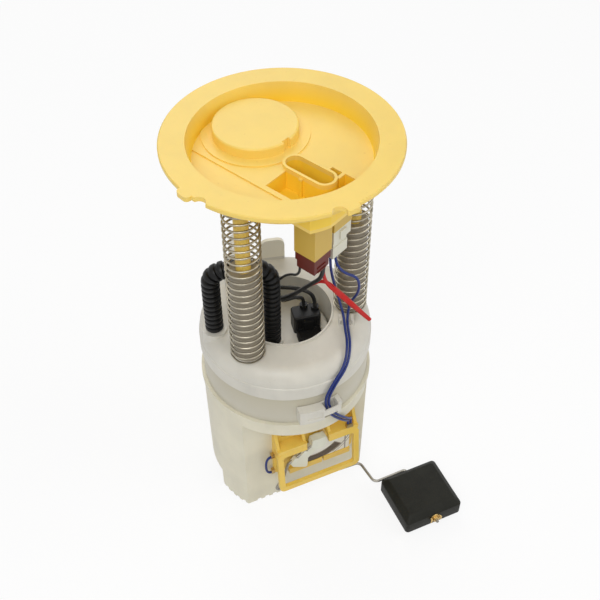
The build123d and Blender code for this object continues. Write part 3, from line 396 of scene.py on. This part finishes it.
def moulded(name, colour, roughness, grain=2600.0, mottle=0.10, warm=None, patches=(), **uniform):
    """Satin moulded plastic: slow mottling, flow streaks and a fine spark-eroded grain."""
    finish = Finish(name, **uniform)
    slow = finish.noise(38.0, 4.0)
    streak = finish.node("ShaderNodeMapping", None, {
        "Vector": finish.place(), "Scale": (90.0, 90.0, 14.0)})
    flow = finish.noise(1.0, 3.0, 0.6, streak)
    tone = finish.ramp(slow * 0.7 + flow * 0.3, 0.36, 0.66)
    light = finish.mix(tone, shade(colour, 1.0 - mottle), shade(colour, 1.0 + mottle * 0.4))
    specks = finish.ramp(finish.noise(420.0, 2.0, 0.4), 0.70, 0.78)
    body = finish.mix(specks * 0.18, light, warm or shade(colour, 0.62))
    finish.feed("Base Color", finish.paint(body, patches))
    fine = finish.noise(grain, 2.0)
    finish.feed("Roughness", fine * 0.10 + flow * 0.08 + (roughness - 0.09))
    finish.bump(fine * 0.7 + slow * 0.3, 0.10, 0.00025)
    return finish.material


def bare_metal(name, colour, roughness, drawn=(1.0, 1.0, 1.0), tarnish=0.35, **uniform):
    """Metal with drawing lines, fine scratches and a dull film."""
    finish = Finish(name, Metallic=1.0, **uniform)
    stretch = finish.node("ShaderNodeMapping", None, {"Vector": finish.place(), "Scale": drawn})
    lines = finish.noise(900.0, 4.0, 0.65, stretch)
    film = finish.ramp(finish.noise(160.0, 4.0, 0.6), 0.38, 0.68)
    finish.feed("Base Color", finish.mix(film * tarnish, colour, shade(colour, 0.42)))
    finish.feed("Roughness", lines * 0.18 + film * 0.14 + (roughness - 0.12))
    finish.bump(lines, 0.12, 0.0001)
    return finish.material


def insulation(name, colour, roughness=0.42, patches=()):
    """Extruded lead insulation: faint drag lines, scuffs and dust."""
    finish = Finish(name, Specular_IOR_Level=0.3)
    scuff = finish.ramp(finish.noise(520.0, 3.0, 0.6), 0.58, 0.74)
    dust = finish.ramp(finish.noise(95.0, 3.0), 0.45, 0.72)
    worn = finish.mix(scuff * 0.22, colour, tuple(0.75 * c + 0.07 for c in colour[:3]))
    covered = finish.paint(worn, patches)
    finish.feed("Base Color", finish.mix(dust * 0.10, covered, (0.30, 0.29, 0.27)))
    finish.feed("Roughness", scuff * 0.2 + roughness)
    finish.bump(finish.noise(1500.0, 2.0), 0.08, 0.0002)
    return finish.material


def cellular_rubber(name, colour):
    """Closed-cell rubber: fine pits, a grey bloom and a soft sheen."""
    finish = Finish(name, Specular_IOR_Level=0.16)
    pits = finish.node("ShaderNodeTexVoronoi", {"feature": "F1"}, {
        "Vector": finish.place(), "Scale": 1500.0})
    bloom = finish.ramp(finish.noise(70.0, 5.0, 0.6), 0.40, 0.75)
    grain = finish.noise(900.0, 3.0, 0.6)
    base = finish.mix(bloom * 0.45, colour, tuple(2.1 * c + 0.006 for c in colour[:3]))
    finish.feed("Base Color", finish.mix(finish.ramp(grain, 0.62, 0.75) * 0.4, base, shade(colour, 0.5)))
    finish.feed("Roughness", bloom * 0.10 + 0.52)
    finish.bump(pits * 0.6 + grain * 0.4, 0.35, 0.0003)
    return finish.material


def fired_ceramic(name):
    """White thick-film substrate: printed lines and fingers round the pivot, and a terminal strip."""
    finish = Finish(name)
    haze = finish.ramp(finish.noise(240.0, 4.0), 0.40, 0.70)
    x, _, z = finish.axes()
    reach = finish.reach("Y", (PIVOT[0] * MM, 0.0, PIVOT[1] * MM))
    inner, outer = (reach.near(*line) for line in CARD_LINES)
    lines = (inner + outer) * (x > CARD_LINES_FROM)
    printed = lines.math("MAXIMUM", lines, x.near(*CARD_STRIP))
    angle = z.math("ARCTAN2", z - PIVOT[1] * MM, x - PIVOT[0] * MM)
    comb = reach.near(*COMB) * angle.near(*COMB_ANGLES)
    stripe = angle.math("SINE", angle * COMB_FINGERS, 0.0)
    ink = finish.mix(stripe > 0.1, (0.17, 0.13, 0.09), (0.30, 0.25, 0.19))
    substrate = finish.mix(haze * 0.5, (0.80, 0.79, 0.73), (0.66, 0.65, 0.58))
    wired = finish.mix(printed, substrate, (0.30, 0.29, 0.27))
    finish.feed("Base Color", finish.mix(comb, wired, ink))
    finish.feed("Roughness", haze * 0.15 + 0.38)
    finish.bump(finish.noise(1800.0, 2.0), 0.1, 0.0002)
    return finish.material


def printed_carbon(name):
    """Dark brown resistor ink, rubbed where the wiper runs."""
    finish = Finish(name)
    rub = finish.ramp(finish.noise(600.0, 4.0, 0.7), 0.42, 0.70)
    finish.feed("Base Color", finish.mix(rub * 0.6, (0.055, 0.038, 0.026), (0.16, 0.12, 0.085)))
    finish.feed("Roughness", rub * 0.2 + 0.4)
    finish.bump(rub, 0.15, 0.0001)
    return finish.material


def pleated_paper(name):
    finish = Finish(name)
    fibre = finish.noise(700.0, 5.0, 0.7)
    finish.feed("Base Color", finish.mix(fibre, (0.62, 0.52, 0.34), (0.76, 0.68, 0.50)))
    finish.feed("Roughness", fibre * 0.1 + 0.8)
    finish.bump(fibre, 0.3, 0.0002)
    return finish.material


def deselect():
    if bpy.context.object and bpy.context.object.mode != "OBJECT":
        bpy.ops.object.mode_set(mode="OBJECT")
    bpy.ops.object.select_all(action="DESELECT")


def pick(piece):
    deselect()
    piece.select_set(True)
    bpy.context.view_layer.objects.active = piece


def started(name):
    """Names the primitive that was just added."""
    piece = bpy.context.object
    piece.name = name
    piece.data.name = name
    return piece


def settle(piece):
    pick(piece)
    bpy.ops.object.transform_apply(location=True, rotation=True, scale=True)


def start_choice(piece, kind):
    """Clears the piece's selection of edges or faces, and leaves edit mode."""
    pick(piece)
    bpy.ops.object.mode_set(mode="EDIT")
    bpy.ops.mesh.select_mode(type=kind)
    bpy.ops.mesh.select_all(action="DESELECT")
    bpy.ops.object.mode_set(mode="OBJECT")


def choose_edges(piece, test):
    """Selects the edges whose two ends pass the test and enters edit mode."""
    start_choice(piece, "EDGE")
    mesh = piece.data
    for edge in mesh.edges:
        edge.select = test(*[mesh.vertices[i].co for i in edge.vertices])
    bpy.ops.object.mode_set(mode="EDIT")


def choose_faces(piece, test):
    """Selects the faces whose normal passes the test and enters edit mode."""
    start_choice(piece, "FACE")
    for face in piece.data.polygons:
        face.select = test(face.normal)
    bpy.ops.object.mode_set(mode="EDIT")


def bevel_edges(piece, test, offset, segments):
    choose_edges(piece, test)
    bpy.ops.mesh.bevel(offset=offset, segments=segments, affect="EDGES")
    bpy.ops.object.mode_set(mode="OBJECT")


def upright(first, last):
    return abs(first.z - last.z) > 0.001


def level(first, last):
    return abs(first.z - last.z) < 1e-6


def cap_ends(piece, sides):
    """Fills a tube's open ends and turns its faces outwards."""
    start_choice(piece, "EDGE")
    bpy.ops.object.mode_set(mode="EDIT")
    bpy.ops.mesh.select_non_manifold()
    bpy.ops.mesh.fill_holes(sides=sides)
    bpy.ops.mesh.select_all(action="SELECT")
    bpy.ops.mesh.normals_make_consistent(inside=False)
    bpy.ops.object.mode_set(mode="OBJECT")


def apply_modifier(piece, kind, **settings):
    pick(piece)
    modifier = piece.modifiers.new(kind.title(), kind)
    for key, value in settings.items():
        setattr(modifier, key, value)
    bpy.ops.object.modifier_apply(modifier=modifier.name)


def smooth(piece, degrees=35.0):
    pick(piece)
    bpy.ops.object.shade_smooth_by_angle(angle=math.radians(degrees))


def dress(piece, material):
    piece.data.materials.clear()
    piece.data.materials.append(material)


def metres(points):
    return [Vector(point) * MM for point in points]


def route_curve(name, points):
    """A smooth open spline with the route's points as its control points."""
    data = bpy.data.curves.new(name, "CURVE")
    data.dimensions = "3D"
    data.resolution_u = 14
    spline = data.splines.new("NURBS")
    spline.points.add(len(points) - 1)
    for target, point in zip(spline.points, metres(points)):
        target.co = (*point, 1.0)
    spline.order_u = 3
    spline.use_endpoint_u = True
    curve = bpy.data.objects.new(name, data)
    bpy.context.collection.objects.link(curve)
    return curve


def read_path(curve):
    bpy.context.view_layer.update()
    mesh = bpy.data.meshes.new_from_object(curve.evaluated_get(bpy.context.evaluated_depsgraph_get()))
    path = [vertex.co.copy() for vertex in mesh.vertices]
    bpy.data.meshes.remove(mesh)
    return path


def path_length(path):
    return sum((b - a).length for a, b in zip(path, path[1:]))


def lead(name, points, diameter, material, node, slide=None):
    """A round lead along its route; with slide, it is left unattached instead of riding on the
    reservoir.
    """
    curve = route_curve(name, points)
    path = read_path(curve)
    curve.data.bevel_depth = diameter / 2
    curve.data.bevel_resolution = 3
    curve.data.use_fill_caps = True
    pick(curve)
    bpy.ops.object.convert(target="MESH")
    piece = bpy.context.object
    smooth(piece, 50.0)
    dress(piece, material)
    if slide:
        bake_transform(piece)
    else:
        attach(piece, "reservoir")
    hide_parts(node)
    return piece


def join_seen(tree, lit, seen, output, share):
    """Mix the shader seen, by its share, into lit for camera, glossy and transmission rays alone."""
    rays = tree.nodes.new("ShaderNodeLightPath")
    both, total, part = (tree.nodes.new("ShaderNodeMath") for _ in range(3))
    both.operation = total.operation = "ADD"
    part.operation = "MULTIPLY"
    total.use_clamp = True
    blend = tree.nodes.new("ShaderNodeMixShader")
    part.inputs[1].default_value = share
    for source, target in (
            (rays.outputs["Is Glossy Ray"], both.inputs[0]),
            (rays.outputs["Is Transmission Ray"], both.inputs[1]),
            (rays.outputs["Is Camera Ray"], total.inputs[0]),
            (both.outputs[0], total.inputs[1]),
            (total.outputs[0], part.inputs[0]),
            (part.outputs[0], blend.inputs[0]),
            (lit.outputs[0], blend.inputs[1]),
            (seen.outputs[0], blend.inputs[2]),
            (blend.outputs[0], output.inputs["Surface"])):
        tree.links.new(source, target)


class FUELMODULE_OT_stage(bpy.types.Operator):
    """Camera, soft studio light and a pale floor"""

    bl_idname = "fuelmodule.stage"
    bl_label = "Stage"

    def execute(self, context):
        sizes = context.scene.fuel_module_sizes
        data = bpy.data.cameras.new("camera")
        data.lens = sizes.camera_lens
        data.sensor_width = 36.0
        camera = bpy.data.objects.new("camera", data)
        camera.location = CAMERA_PLACE
        camera.rotation_euler = (math.radians(CAMERA_TILT), 0.0, math.radians(CAMERA_TURN))
        context.collection.objects.link(camera)
        context.scene.camera = camera
        deselect()
        bpy.ops.mesh.primitive_plane_add(size=FLOOR_SIDE, location=(0, 0, 0))
        floor = started("floor")
        floor.data.materials.append(self.floor_finish())
        for lamp in LAMPS:
            self.lamp(*lamp)
        self.sky(context)
        context.scene.view_settings.view_transform = "Standard"
        return {"FINISHED"}

    def lamp(self, name, place, size, watts):
        data = bpy.data.lights.new(name, "AREA")
        data.shape = "DISK"
        data.size = size
        data.energy = watts
        lamp = bpy.data.objects.new(name, data)
        lamp.location = place
        aim = Vector(LAMP_AIM) - Vector(place)
        lamp.rotation_euler = aim.to_track_quat("-Z", "Y").to_euler()
        bpy.context.collection.objects.link(lamp)

    def floor_finish(self):
        """Pale floor that looks nearly white, with a faint shadow."""
        material = bpy.data.materials.new("pale_floor")
        material.use_nodes = True
        tree = material.node_tree
        surface = tree.nodes["Principled BSDF"]
        surface.inputs["Base Color"].default_value = (0.97, 0.97, 0.97, 1.0)
        surface.inputs["Roughness"].default_value = 0.9
        surface.inputs["Specular IOR Level"].default_value = 0.0
        white = tree.nodes.new("ShaderNodeEmission")
        join_seen(tree, surface, white, tree.nodes["Material Output"], FLOOR_WHITE)
        return material

    def sky(self, context):
        world = bpy.data.worlds.new("studio")
        context.scene.world = world
        world.use_nodes = True
        tree = world.node_tree
        soft = tree.nodes["Background"]
        white = tree.nodes.new("ShaderNodeBackground")
        for shader, strength in ((soft, SKY_STRENGTH), (white, 1.0)):
            shader.inputs["Color"].default_value = (1.0, 1.0, 1.0, 1.0)
            shader.inputs["Strength"].default_value = strength
        join_seen(tree, soft, white, tree.nodes["World Output"], 1.0)


class FUELMODULE_OT_leads(bpy.types.Operator):
    """Pump and sender leads with the splice sleeve"""

    bl_idname = "fuelmodule.leads"
    bl_label = "Leads"

    def execute(self, context):
        colours = context.scene.fuel_module_colours
        black = insulation("black_insulation", INK_BLACK)
        red = insulation("red_insulation", tuple(colours.red))
        tubed = insulation("tubed_insulation", tuple(colours.red), patches=((tubing_zone, INK_BLACK),))
        blue = insulation("blue_insulation", tuple(colours.blue))
        lead("black_lead_dressed", BLACK_ROUTE, THICK_LEAD, black, "black_lead", PUMP_SLIDE)
        lead("thin_lead_dressed", THIN_ROUTE, THIN_LEAD, black, "thin_lead", PUMP_SLIDE)
        sleeve = self.splice(red)
        lead("red_supply_dressed", RED_SUPPLY_ROUTE, RED_LEAD, red, "red_supply_lead",
             PUMP_SLIDE)
        lead("red_pump_dressed", RED_PUMP_ROUTE, RED_LEAD, tubed, "red_pump_lead",
             PUMP_SLIDE)
        for letter, route in (("a", BLUE_A_ROUTE), ("b", BLUE_B_ROUTE)):
            lead(f"blue_lead_{letter}_dressed", route, BLUE_LEAD, blue, f"blue_lead_{letter}",
                 SENDER_SLIDE)
        lead("sender_loop_dressed", LOOP_ROUTE, BLUE_LEAD, blue, "sender_loop_lead")
        return {"FINISHED"}

    def splice(self, material):
        """Shrunk sleeve over two lead ends: a long cylinder with a neck and a sealed tip."""
        first, last = metres(SPLICE_ENDS)
        length = (last - first).length
        deselect()
        bpy.ops.mesh.primitive_cylinder_add(
            vertices=24, radius=SPLICE_RADIUS, depth=length, location=(0, 0, 0))
        sleeve = started("splice_sleeve_dressed")
        choose_edges(sleeve, lambda a, b: abs(a.z - b.z) > 0.5 * length)
        bpy.ops.mesh.subdivide(number_cuts=12)
        bpy.ops.object.mode_set(mode="OBJECT")
        for vertex in sleeve.data.vertices:
            along = vertex.co.z / length + 0.5
            narrow = 1.0 - 0.30 * max(0.0, (along - 0.45) / 0.55) ** 0.8
            neck = 1.0 - 0.12 * max(0.0, (0.12 - along) / 0.12)
            vertex.co.x *= narrow * neck * (1.0 - 0.18 * along)
            vertex.co.y *= narrow * neck
        bevel_edges(sleeve, lambda a, b: abs(a.z) > 0.49 * length and level(a, b), SPLICE_EDGE, 3)
        turn = (last - first).to_track_quat("Z", "Y").to_matrix().to_4x4()
        sleeve.data.transform(Matrix.Translation((first + last) / 2) @ turn)
        smooth(sleeve, 50.0)
        dress(sleeve, material)
        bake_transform(sleeve)
        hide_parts("splice_sleeve")
        return sleeve


class FUELMODULE_OT_hose(bpy.types.Operator):
    """Corrugated hose from the pump's nipple to the lid"""

    bl_idname = "fuelmodule.hose"
    bl_label = "Corrugated hose"

    def execute(self, context):
        sizes = context.scene.fuel_module_sizes
        colours = context.scene.fuel_module_colours
        route = route_curve("hose_route", HOSE_ROUTE)
        path = read_path(route)
        length = path_length(path)
        outer = sizes.hose_diameter / 2
        inner = outer - sizes.hose_ring_depth
        rings = int(length / sizes.hose_ring_pitch)
        pitch = length / rings
        deselect()
        bpy.ops.mesh.primitive_circle_add(
            vertices=28, radius=inner, fill_type="NOTHING", location=(0, 0, 0))
        hose = started("corrugated_hose_dressed")
        shoulder = outer * 0.975
        ring = (  # share of the pitch, radius
            (0.16, inner), (0.26, shoulder), (0.36, outer), (0.70, outer), (0.80, shoulder),
            (0.90, inner), (1.0, inner))
        bpy.ops.object.mode_set(mode="EDIT")
        bpy.ops.mesh.select_all(action="SELECT")
        height, radius = 0.0, inner
        for share, wanted in ring:
            rise = share * pitch - height
            bpy.ops.mesh.extrude_edges_move(TRANSFORM_OT_translate={"value": (0, 0, rise)})
            bpy.ops.transform.resize(value=(wanted / radius, wanted / radius, 1.0))
            height, radius = share * pitch, wanted
        bpy.ops.object.mode_set(mode="OBJECT")
        hose.data.transform(Matrix.Rotation(math.radians(90), 4, "Y"))
        apply_modifier(hose, "ARRAY", count=rings, use_relative_offset=False,
                       use_constant_offset=True, constant_offset_displace=(pitch, 0, 0),
                       use_merge_vertices=True, merge_threshold=1e-5)
        apply_modifier(hose, "CURVE", object=route, deform_axis="POS_X")
        bpy.data.objects.remove(route)
        cap_ends(hose, 64)
        smooth(hose, 40.0)
        finish = moulded("hose_plastic_finish", tuple(colours.hose), 0.36, mottle=0.25,
                         Specular_IOR_Level=0.22)
        dress(hose, finish)
        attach(hose, "reservoir")
        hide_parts("corrugated_hose")
        return {"FINISHED"}


class FUELMODULE_OT_springs(bpy.types.Operator):
    """The two compression springs between lid and flange"""

    bl_idname = "fuelmodule.springs"
    bl_label = "Springs"

    def execute(self, context):
        sizes = context.scene.fuel_module_sizes
        colours = context.scene.fuel_module_colours
        steel = bare_metal("spring_steel_finish", tuple(colours.spring), 0.33,
                           drawn=(1.0, 1.0, 8.0), tarnish=0.7)
        for side in ("left", "right"):
            self.wind(side, sizes, steel)
        return {"FINISHED"}

    def wind(self, side, sizes, steel):
        node = f"spring_{side}"
        low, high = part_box(node)
        middle = (low + high) / 2
        radius = sizes.spring_wire / 2
        rise = (high.z - low.z) - sizes.spring_wire
        closed = 1.15 * sizes.spring_wire
        turns = sizes.spring_turns
        pitch = (rise - 2 * closed) / (turns - 2)
        deselect()
        bpy.ops.mesh.primitive_circle_add(
            vertices=10, radius=radius, fill_type="NOTHING", location=(0, 0, 0),
            rotation=(math.pi / 2, 0, 0))
        coil = started(f"spring_{side}_dressed")
        settle(coil)
        coil.data.transform(Matrix.Translation((sizes.spring_mean_radius, 0, 0)))
        apply_modifier(coil, "SCREW", axis="Z", angle=2 * math.pi, screw_offset=pitch, iterations=turns,
                       steps=28, render_steps=28)
        for vertex in coil.data.vertices:
            vertex.co.z = self.ground(vertex.co.z, pitch, closed, turns)
        cap_ends(coil, 16)
        coil.data.transform(Matrix.Translation((middle.x, middle.y, low.z + radius)))
        smooth(coil, 60.0)
        dress(coil, steel)
        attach(coil, "reservoir")
        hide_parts(node)
        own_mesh(coil)

    def ground(self, height, pitch, closed, turns):
        """Heights of the first and last turn, closed up against their neighbours."""
        top = pitch * turns
        if height < pitch:
            return height * closed / pitch
        if height > top - pitch:
            return closed + pitch * (turns - 2) + (height - (top - pitch)) * closed / pitch
        return closed + (height - pitch)


class FUELMODULE_OT_float(bpy.types.Operator):
    """Black float on the end of the arm wire"""

    bl_idname = "fuelmodule.float"
    bl_label = "Float"

    def execute(self, context):
        sizes = context.scene.fuel_module_sizes
        colours = context.scene.fuel_module_colours
        low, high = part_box("float")
        deselect()
        slope = sizes.float_chamfer
        shoulder = Vector((high.x, high.y, high.z - slope))
        bpy.ops.mesh.primitive_cube_add(size=1.0, location=(low + shoulder) / 2)
        block = started("float_dressed")
        block.scale = shoulder - low
        settle(block)
        bevel_edges(block, upright, sizes.float_corner, 5)
        choose_faces(block, lambda normal: normal.z > 0.9)
        bpy.ops.mesh.extrude_region_move(TRANSFORM_OT_translate={"value": (0, 0, slope)})
        middle = (low + high) / 2
        narrow = [1.0 - 2.0 * slope / side for side in (high - low).xy]
        bpy.ops.transform.resize(value=(*narrow, 1.0), center_override=(*middle.xy, high.z))
        bpy.ops.object.mode_set(mode="OBJECT")
        bevel_edges(block, level, FLOAT_EDGE, 3)
        deselect()
        bpy.ops.mesh.primitive_cylinder_add(
            vertices=24, radius=FLOAT_BORE_RADIUS, depth=0.08, rotation=(math.pi / 2, 0, 0),
            location=(FLOAT_BORE[0] * MM, middle.y, FLOAT_BORE[1] * MM))
        drill = started("float_drill")
        settle(drill)
        apply_modifier(block, "BOOLEAN", operation="DIFFERENCE", object=drill, solver="EXACT")
        bpy.data.objects.remove(drill)
        smooth(block, 30.0)
        dress(block, cellular_rubber("float_rubber_finish", tuple(colours.float_rubber)))
        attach(block, "float")
        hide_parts("float")
        return {"FINISHED"}


class FUELMODULE_OT_boot(bpy.types.Operator):
    """Black rubber boot at the front of the pump connector"""

    bl_idname = "fuelmodule.boot"
    bl_label = "Connector boot"

    def execute(self, context):
        sizes = context.scene.fuel_module_sizes
        turn = Matrix.Rotation(math.radians(CONNECTOR_TURN), 4, "Z")
        foot = Vector(CONNECTOR) * MM + turn @ Vector((0.0, -sizes.boot_reach, sizes.boot[2] / 2))
        deselect()
        bpy.ops.mesh.primitive_cube_add(size=1.0, location=foot, rotation=turn.to_euler())
        boot = started("connector_boot")
        boot.scale = sizes.boot
        settle(boot)
        bevel_edges(boot, upright, BOOT_CORNER, 4)
        choose_faces(boot, lambda normal: normal.z > 0.9)
        bpy.ops.mesh.inset(thickness=BOOT_LIP)
        bpy.ops.mesh.extrude_region_move(TRANSFORM_OT_translate={"value": (0, 0, -BOOT_SINK)})
        bpy.ops.object.mode_set(mode="OBJECT")
        rim = foot.z + 0.4 * sizes.boot[2]
        bevel_edges(boot, lambda a, b: min(a.z, b.z) > rim, BOOT_EDGE, 2)
        smooth(boot, 40.0)
        rubber = moulded("boot_rubber", (0.010, 0.010, 0.010), 0.55, mottle=0.25,
                         Specular_IOR_Level=0.2)
        dress(boot, rubber)
        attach(boot, "reservoir")
        return {"FINISHED"}


class FUELMODULE_OT_finishes(bpy.types.Operator):
    """Finishes of the pieces that keep their solid shape"""

    bl_idname = "fuelmodule.finishes"
    bl_label = "Finishes"

    def execute(self, context):
        colours = context.scene.fuel_module_colours
        # The flange's patches are painted: painted light in its thin walls, painted shade on the plug
        # housings under it.
        yellow = moulded("yellow_acetal", tuple(colours.flange), 0.40, mottle=0.05,
                         warm=(0.55, 0.30, 0.05),
                         patches=((dish_light_zone, (0.97, 0.66, 0.03)), (housing_zone, (0.60, 0.40, 0.06))),
                         Subsurface_Weight=0.10, Subsurface_Radius=(0.004, 0.0022, 0.0006))
        # Amber: the flange's yellow made deeper and darker, partly the parts' own colour and partly
        # painted shade under the flange.
        amber = moulded("amber_acetal_painted_shade", tuple(colours.amber), 0.40, mottle=0.08,
                        warm=(0.45, 0.24, 0.04),
                        Subsurface_Weight=0.10, Subsurface_Radius=(0.004, 0.0022, 0.0006))
        milky = moulded("milky_acetal", tuple(colours.pot), 0.46,
                        Subsurface_Weight=0.12, Subsurface_Radius=(0.006, 0.005, 0.0035))
        # The lid's patches are painted light and shade: painted shade in the sleeves and the sunken
        # band, painted light on the tongue.
        white = moulded("white_acetal", tuple(colours.lid), 0.42,
                        patches=((sleeve_shade_zone, (0.29, 0.25, 0.185)), (band_shade_zone, (0.52, 0.48, 0.36)),
                                 (tongue_light_zone, (0.83, 0.795, 0.67))),
                        Subsurface_Weight=0.12, Subsurface_Radius=(0.006, 0.005, 0.004))
        lever = moulded("lever_acetal", (0.74, 0.74, 0.62), 0.42)
        black = moulded("black_nylon", (0.010, 0.010, 0.010), 0.40, mottle=0.25,
                        Specular_IOR_Level=0.25)
        maroon = moulded("maroon_nylon", tuple(colours.pump_plug), 0.42, mottle=0.22,
                         Specular_IOR_Level=0.3)
        plug_white = moulded("white_nylon", (0.70, 0.68, 0.56), 0.42)
        rubber = cellular_rubber("rubber_finish", (0.03, 0.03, 0.03))
        steel = bare_metal("drawn_steel", (0.36, 0.34, 0.30), 0.36, tarnish=0.4)
        case = bare_metal("rolled_steel", (0.56, 0.56, 0.56), 0.34,
                          drawn=(1.0, 1.0, 12.0), tarnish=0.25)
        alloy = bare_metal("cast_alloy_finish", (0.6, 0.6, 0.6), 0.5)
        tin = bare_metal("tin_plate", (0.66, 0.65, 0.62), 0.34)
        brass = bare_metal("brass_finish", (0.62, 0.44, 0.18), 0.34)
        copper = bare_metal("copper_finish", (0.72, 0.36, 0.2), 0.34)
        carbon = printed_carbon("carbon_ink")
        ferrite = moulded("ferrite", (0.07, 0.07, 0.075), 0.6)
        ceramic = fired_ceramic("ceramic_card")
        paper = pleated_paper("filter_paper_finish")
        worn = {
            yellow: ("flange",),
            amber: ("guide_rod_left", "guide_rod_right", "sender_body"),
            milky: ("reservoir_pot",),
            white: ("reservoir_lid", "filter_base", "lid_wire_clip", "pot_wire_clip", "pump_holder",
                    "pump_top_cover"),
            lever: ("wiper_lever",),
            black: ("pump_connector", "pump_end_bell", "impeller"),
            maroon: ("pump_plug",),
            plug_white: ("sender_plug",),
            rubber: ("foot_valve", "pump_isolator"),
            steel: ("float_arm", "pivot_pin", "motor_shaft", "armature"),
            case: ("pump_case",),
            alloy: ("pump_inlet_cover", "pump_chamber_plate"),
            tin: ("connector_pins",),
            brass: ("pump_terminals", "sender_terminals", "float_clip", "wiper_contact"),
            copper: ("commutator",),
            carbon: ("resistor_track", "motor_brushes"),
            ferrite: ("motor_magnets",),
            ceramic: ("resistor_card",),
            paper: ("filter_element", "inlet_strainer"),
        }
        for material, names in worn.items():
            for name in names:
                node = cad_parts[name]
                if node.material_slots:
                    for place in node.material_slots:
                        place.material = material
                else:
                    node.data.materials.append(material)
        return {"FINISHED"}


class FUELMODULE_PT_panel(bpy.types.Panel):
    """Sizes, colours and building steps of the module"""

    bl_idname = "FUELMODULE_PT_panel"
    bl_label = "Fuel pump module"
    bl_space_type = "VIEW_3D"
    bl_region_type = "UI"
    bl_category = "Fuel pump"

    def draw(self, context):
        for group in (context.scene.fuel_module_sizes, context.scene.fuel_module_colours):
            box = self.layout.box()
            for name in group.bl_rna.properties.keys():
                if name not in ("rna_type", "name"):
                    box.prop(group, name)
        for operator in operators:
            self.layout.operator(operator.bl_idname)


operators = (
    FUELMODULE_OT_stage,
    FUELMODULE_OT_leads,
    FUELMODULE_OT_hose,
    FUELMODULE_OT_springs,
    FUELMODULE_OT_float,
    FUELMODULE_OT_boot,
    FUELMODULE_OT_finishes,
)
classes = (FuelModuleSizes, FuelModuleColours, *operators, FUELMODULE_PT_panel)


def register():
    for cls in classes:
        bpy.utils.register_class(cls)
    bpy.types.Scene.fuel_module_sizes = bpy.props.PointerProperty(type=FuelModuleSizes)
    bpy.types.Scene.fuel_module_colours = bpy.props.PointerProperty(type=FuelModuleColours)


def unregister():
    del bpy.types.Scene.fuel_module_colours
    del bpy.types.Scene.fuel_module_sizes
    for cls in reversed(classes):
        bpy.utils.unregister_class(cls)


def main():
    register()
    for operator in operators:
        group, name = operator.bl_idname.split(".")
        getattr(getattr(bpy.ops, group), name)()


if __name__ == "__main__":
    main()
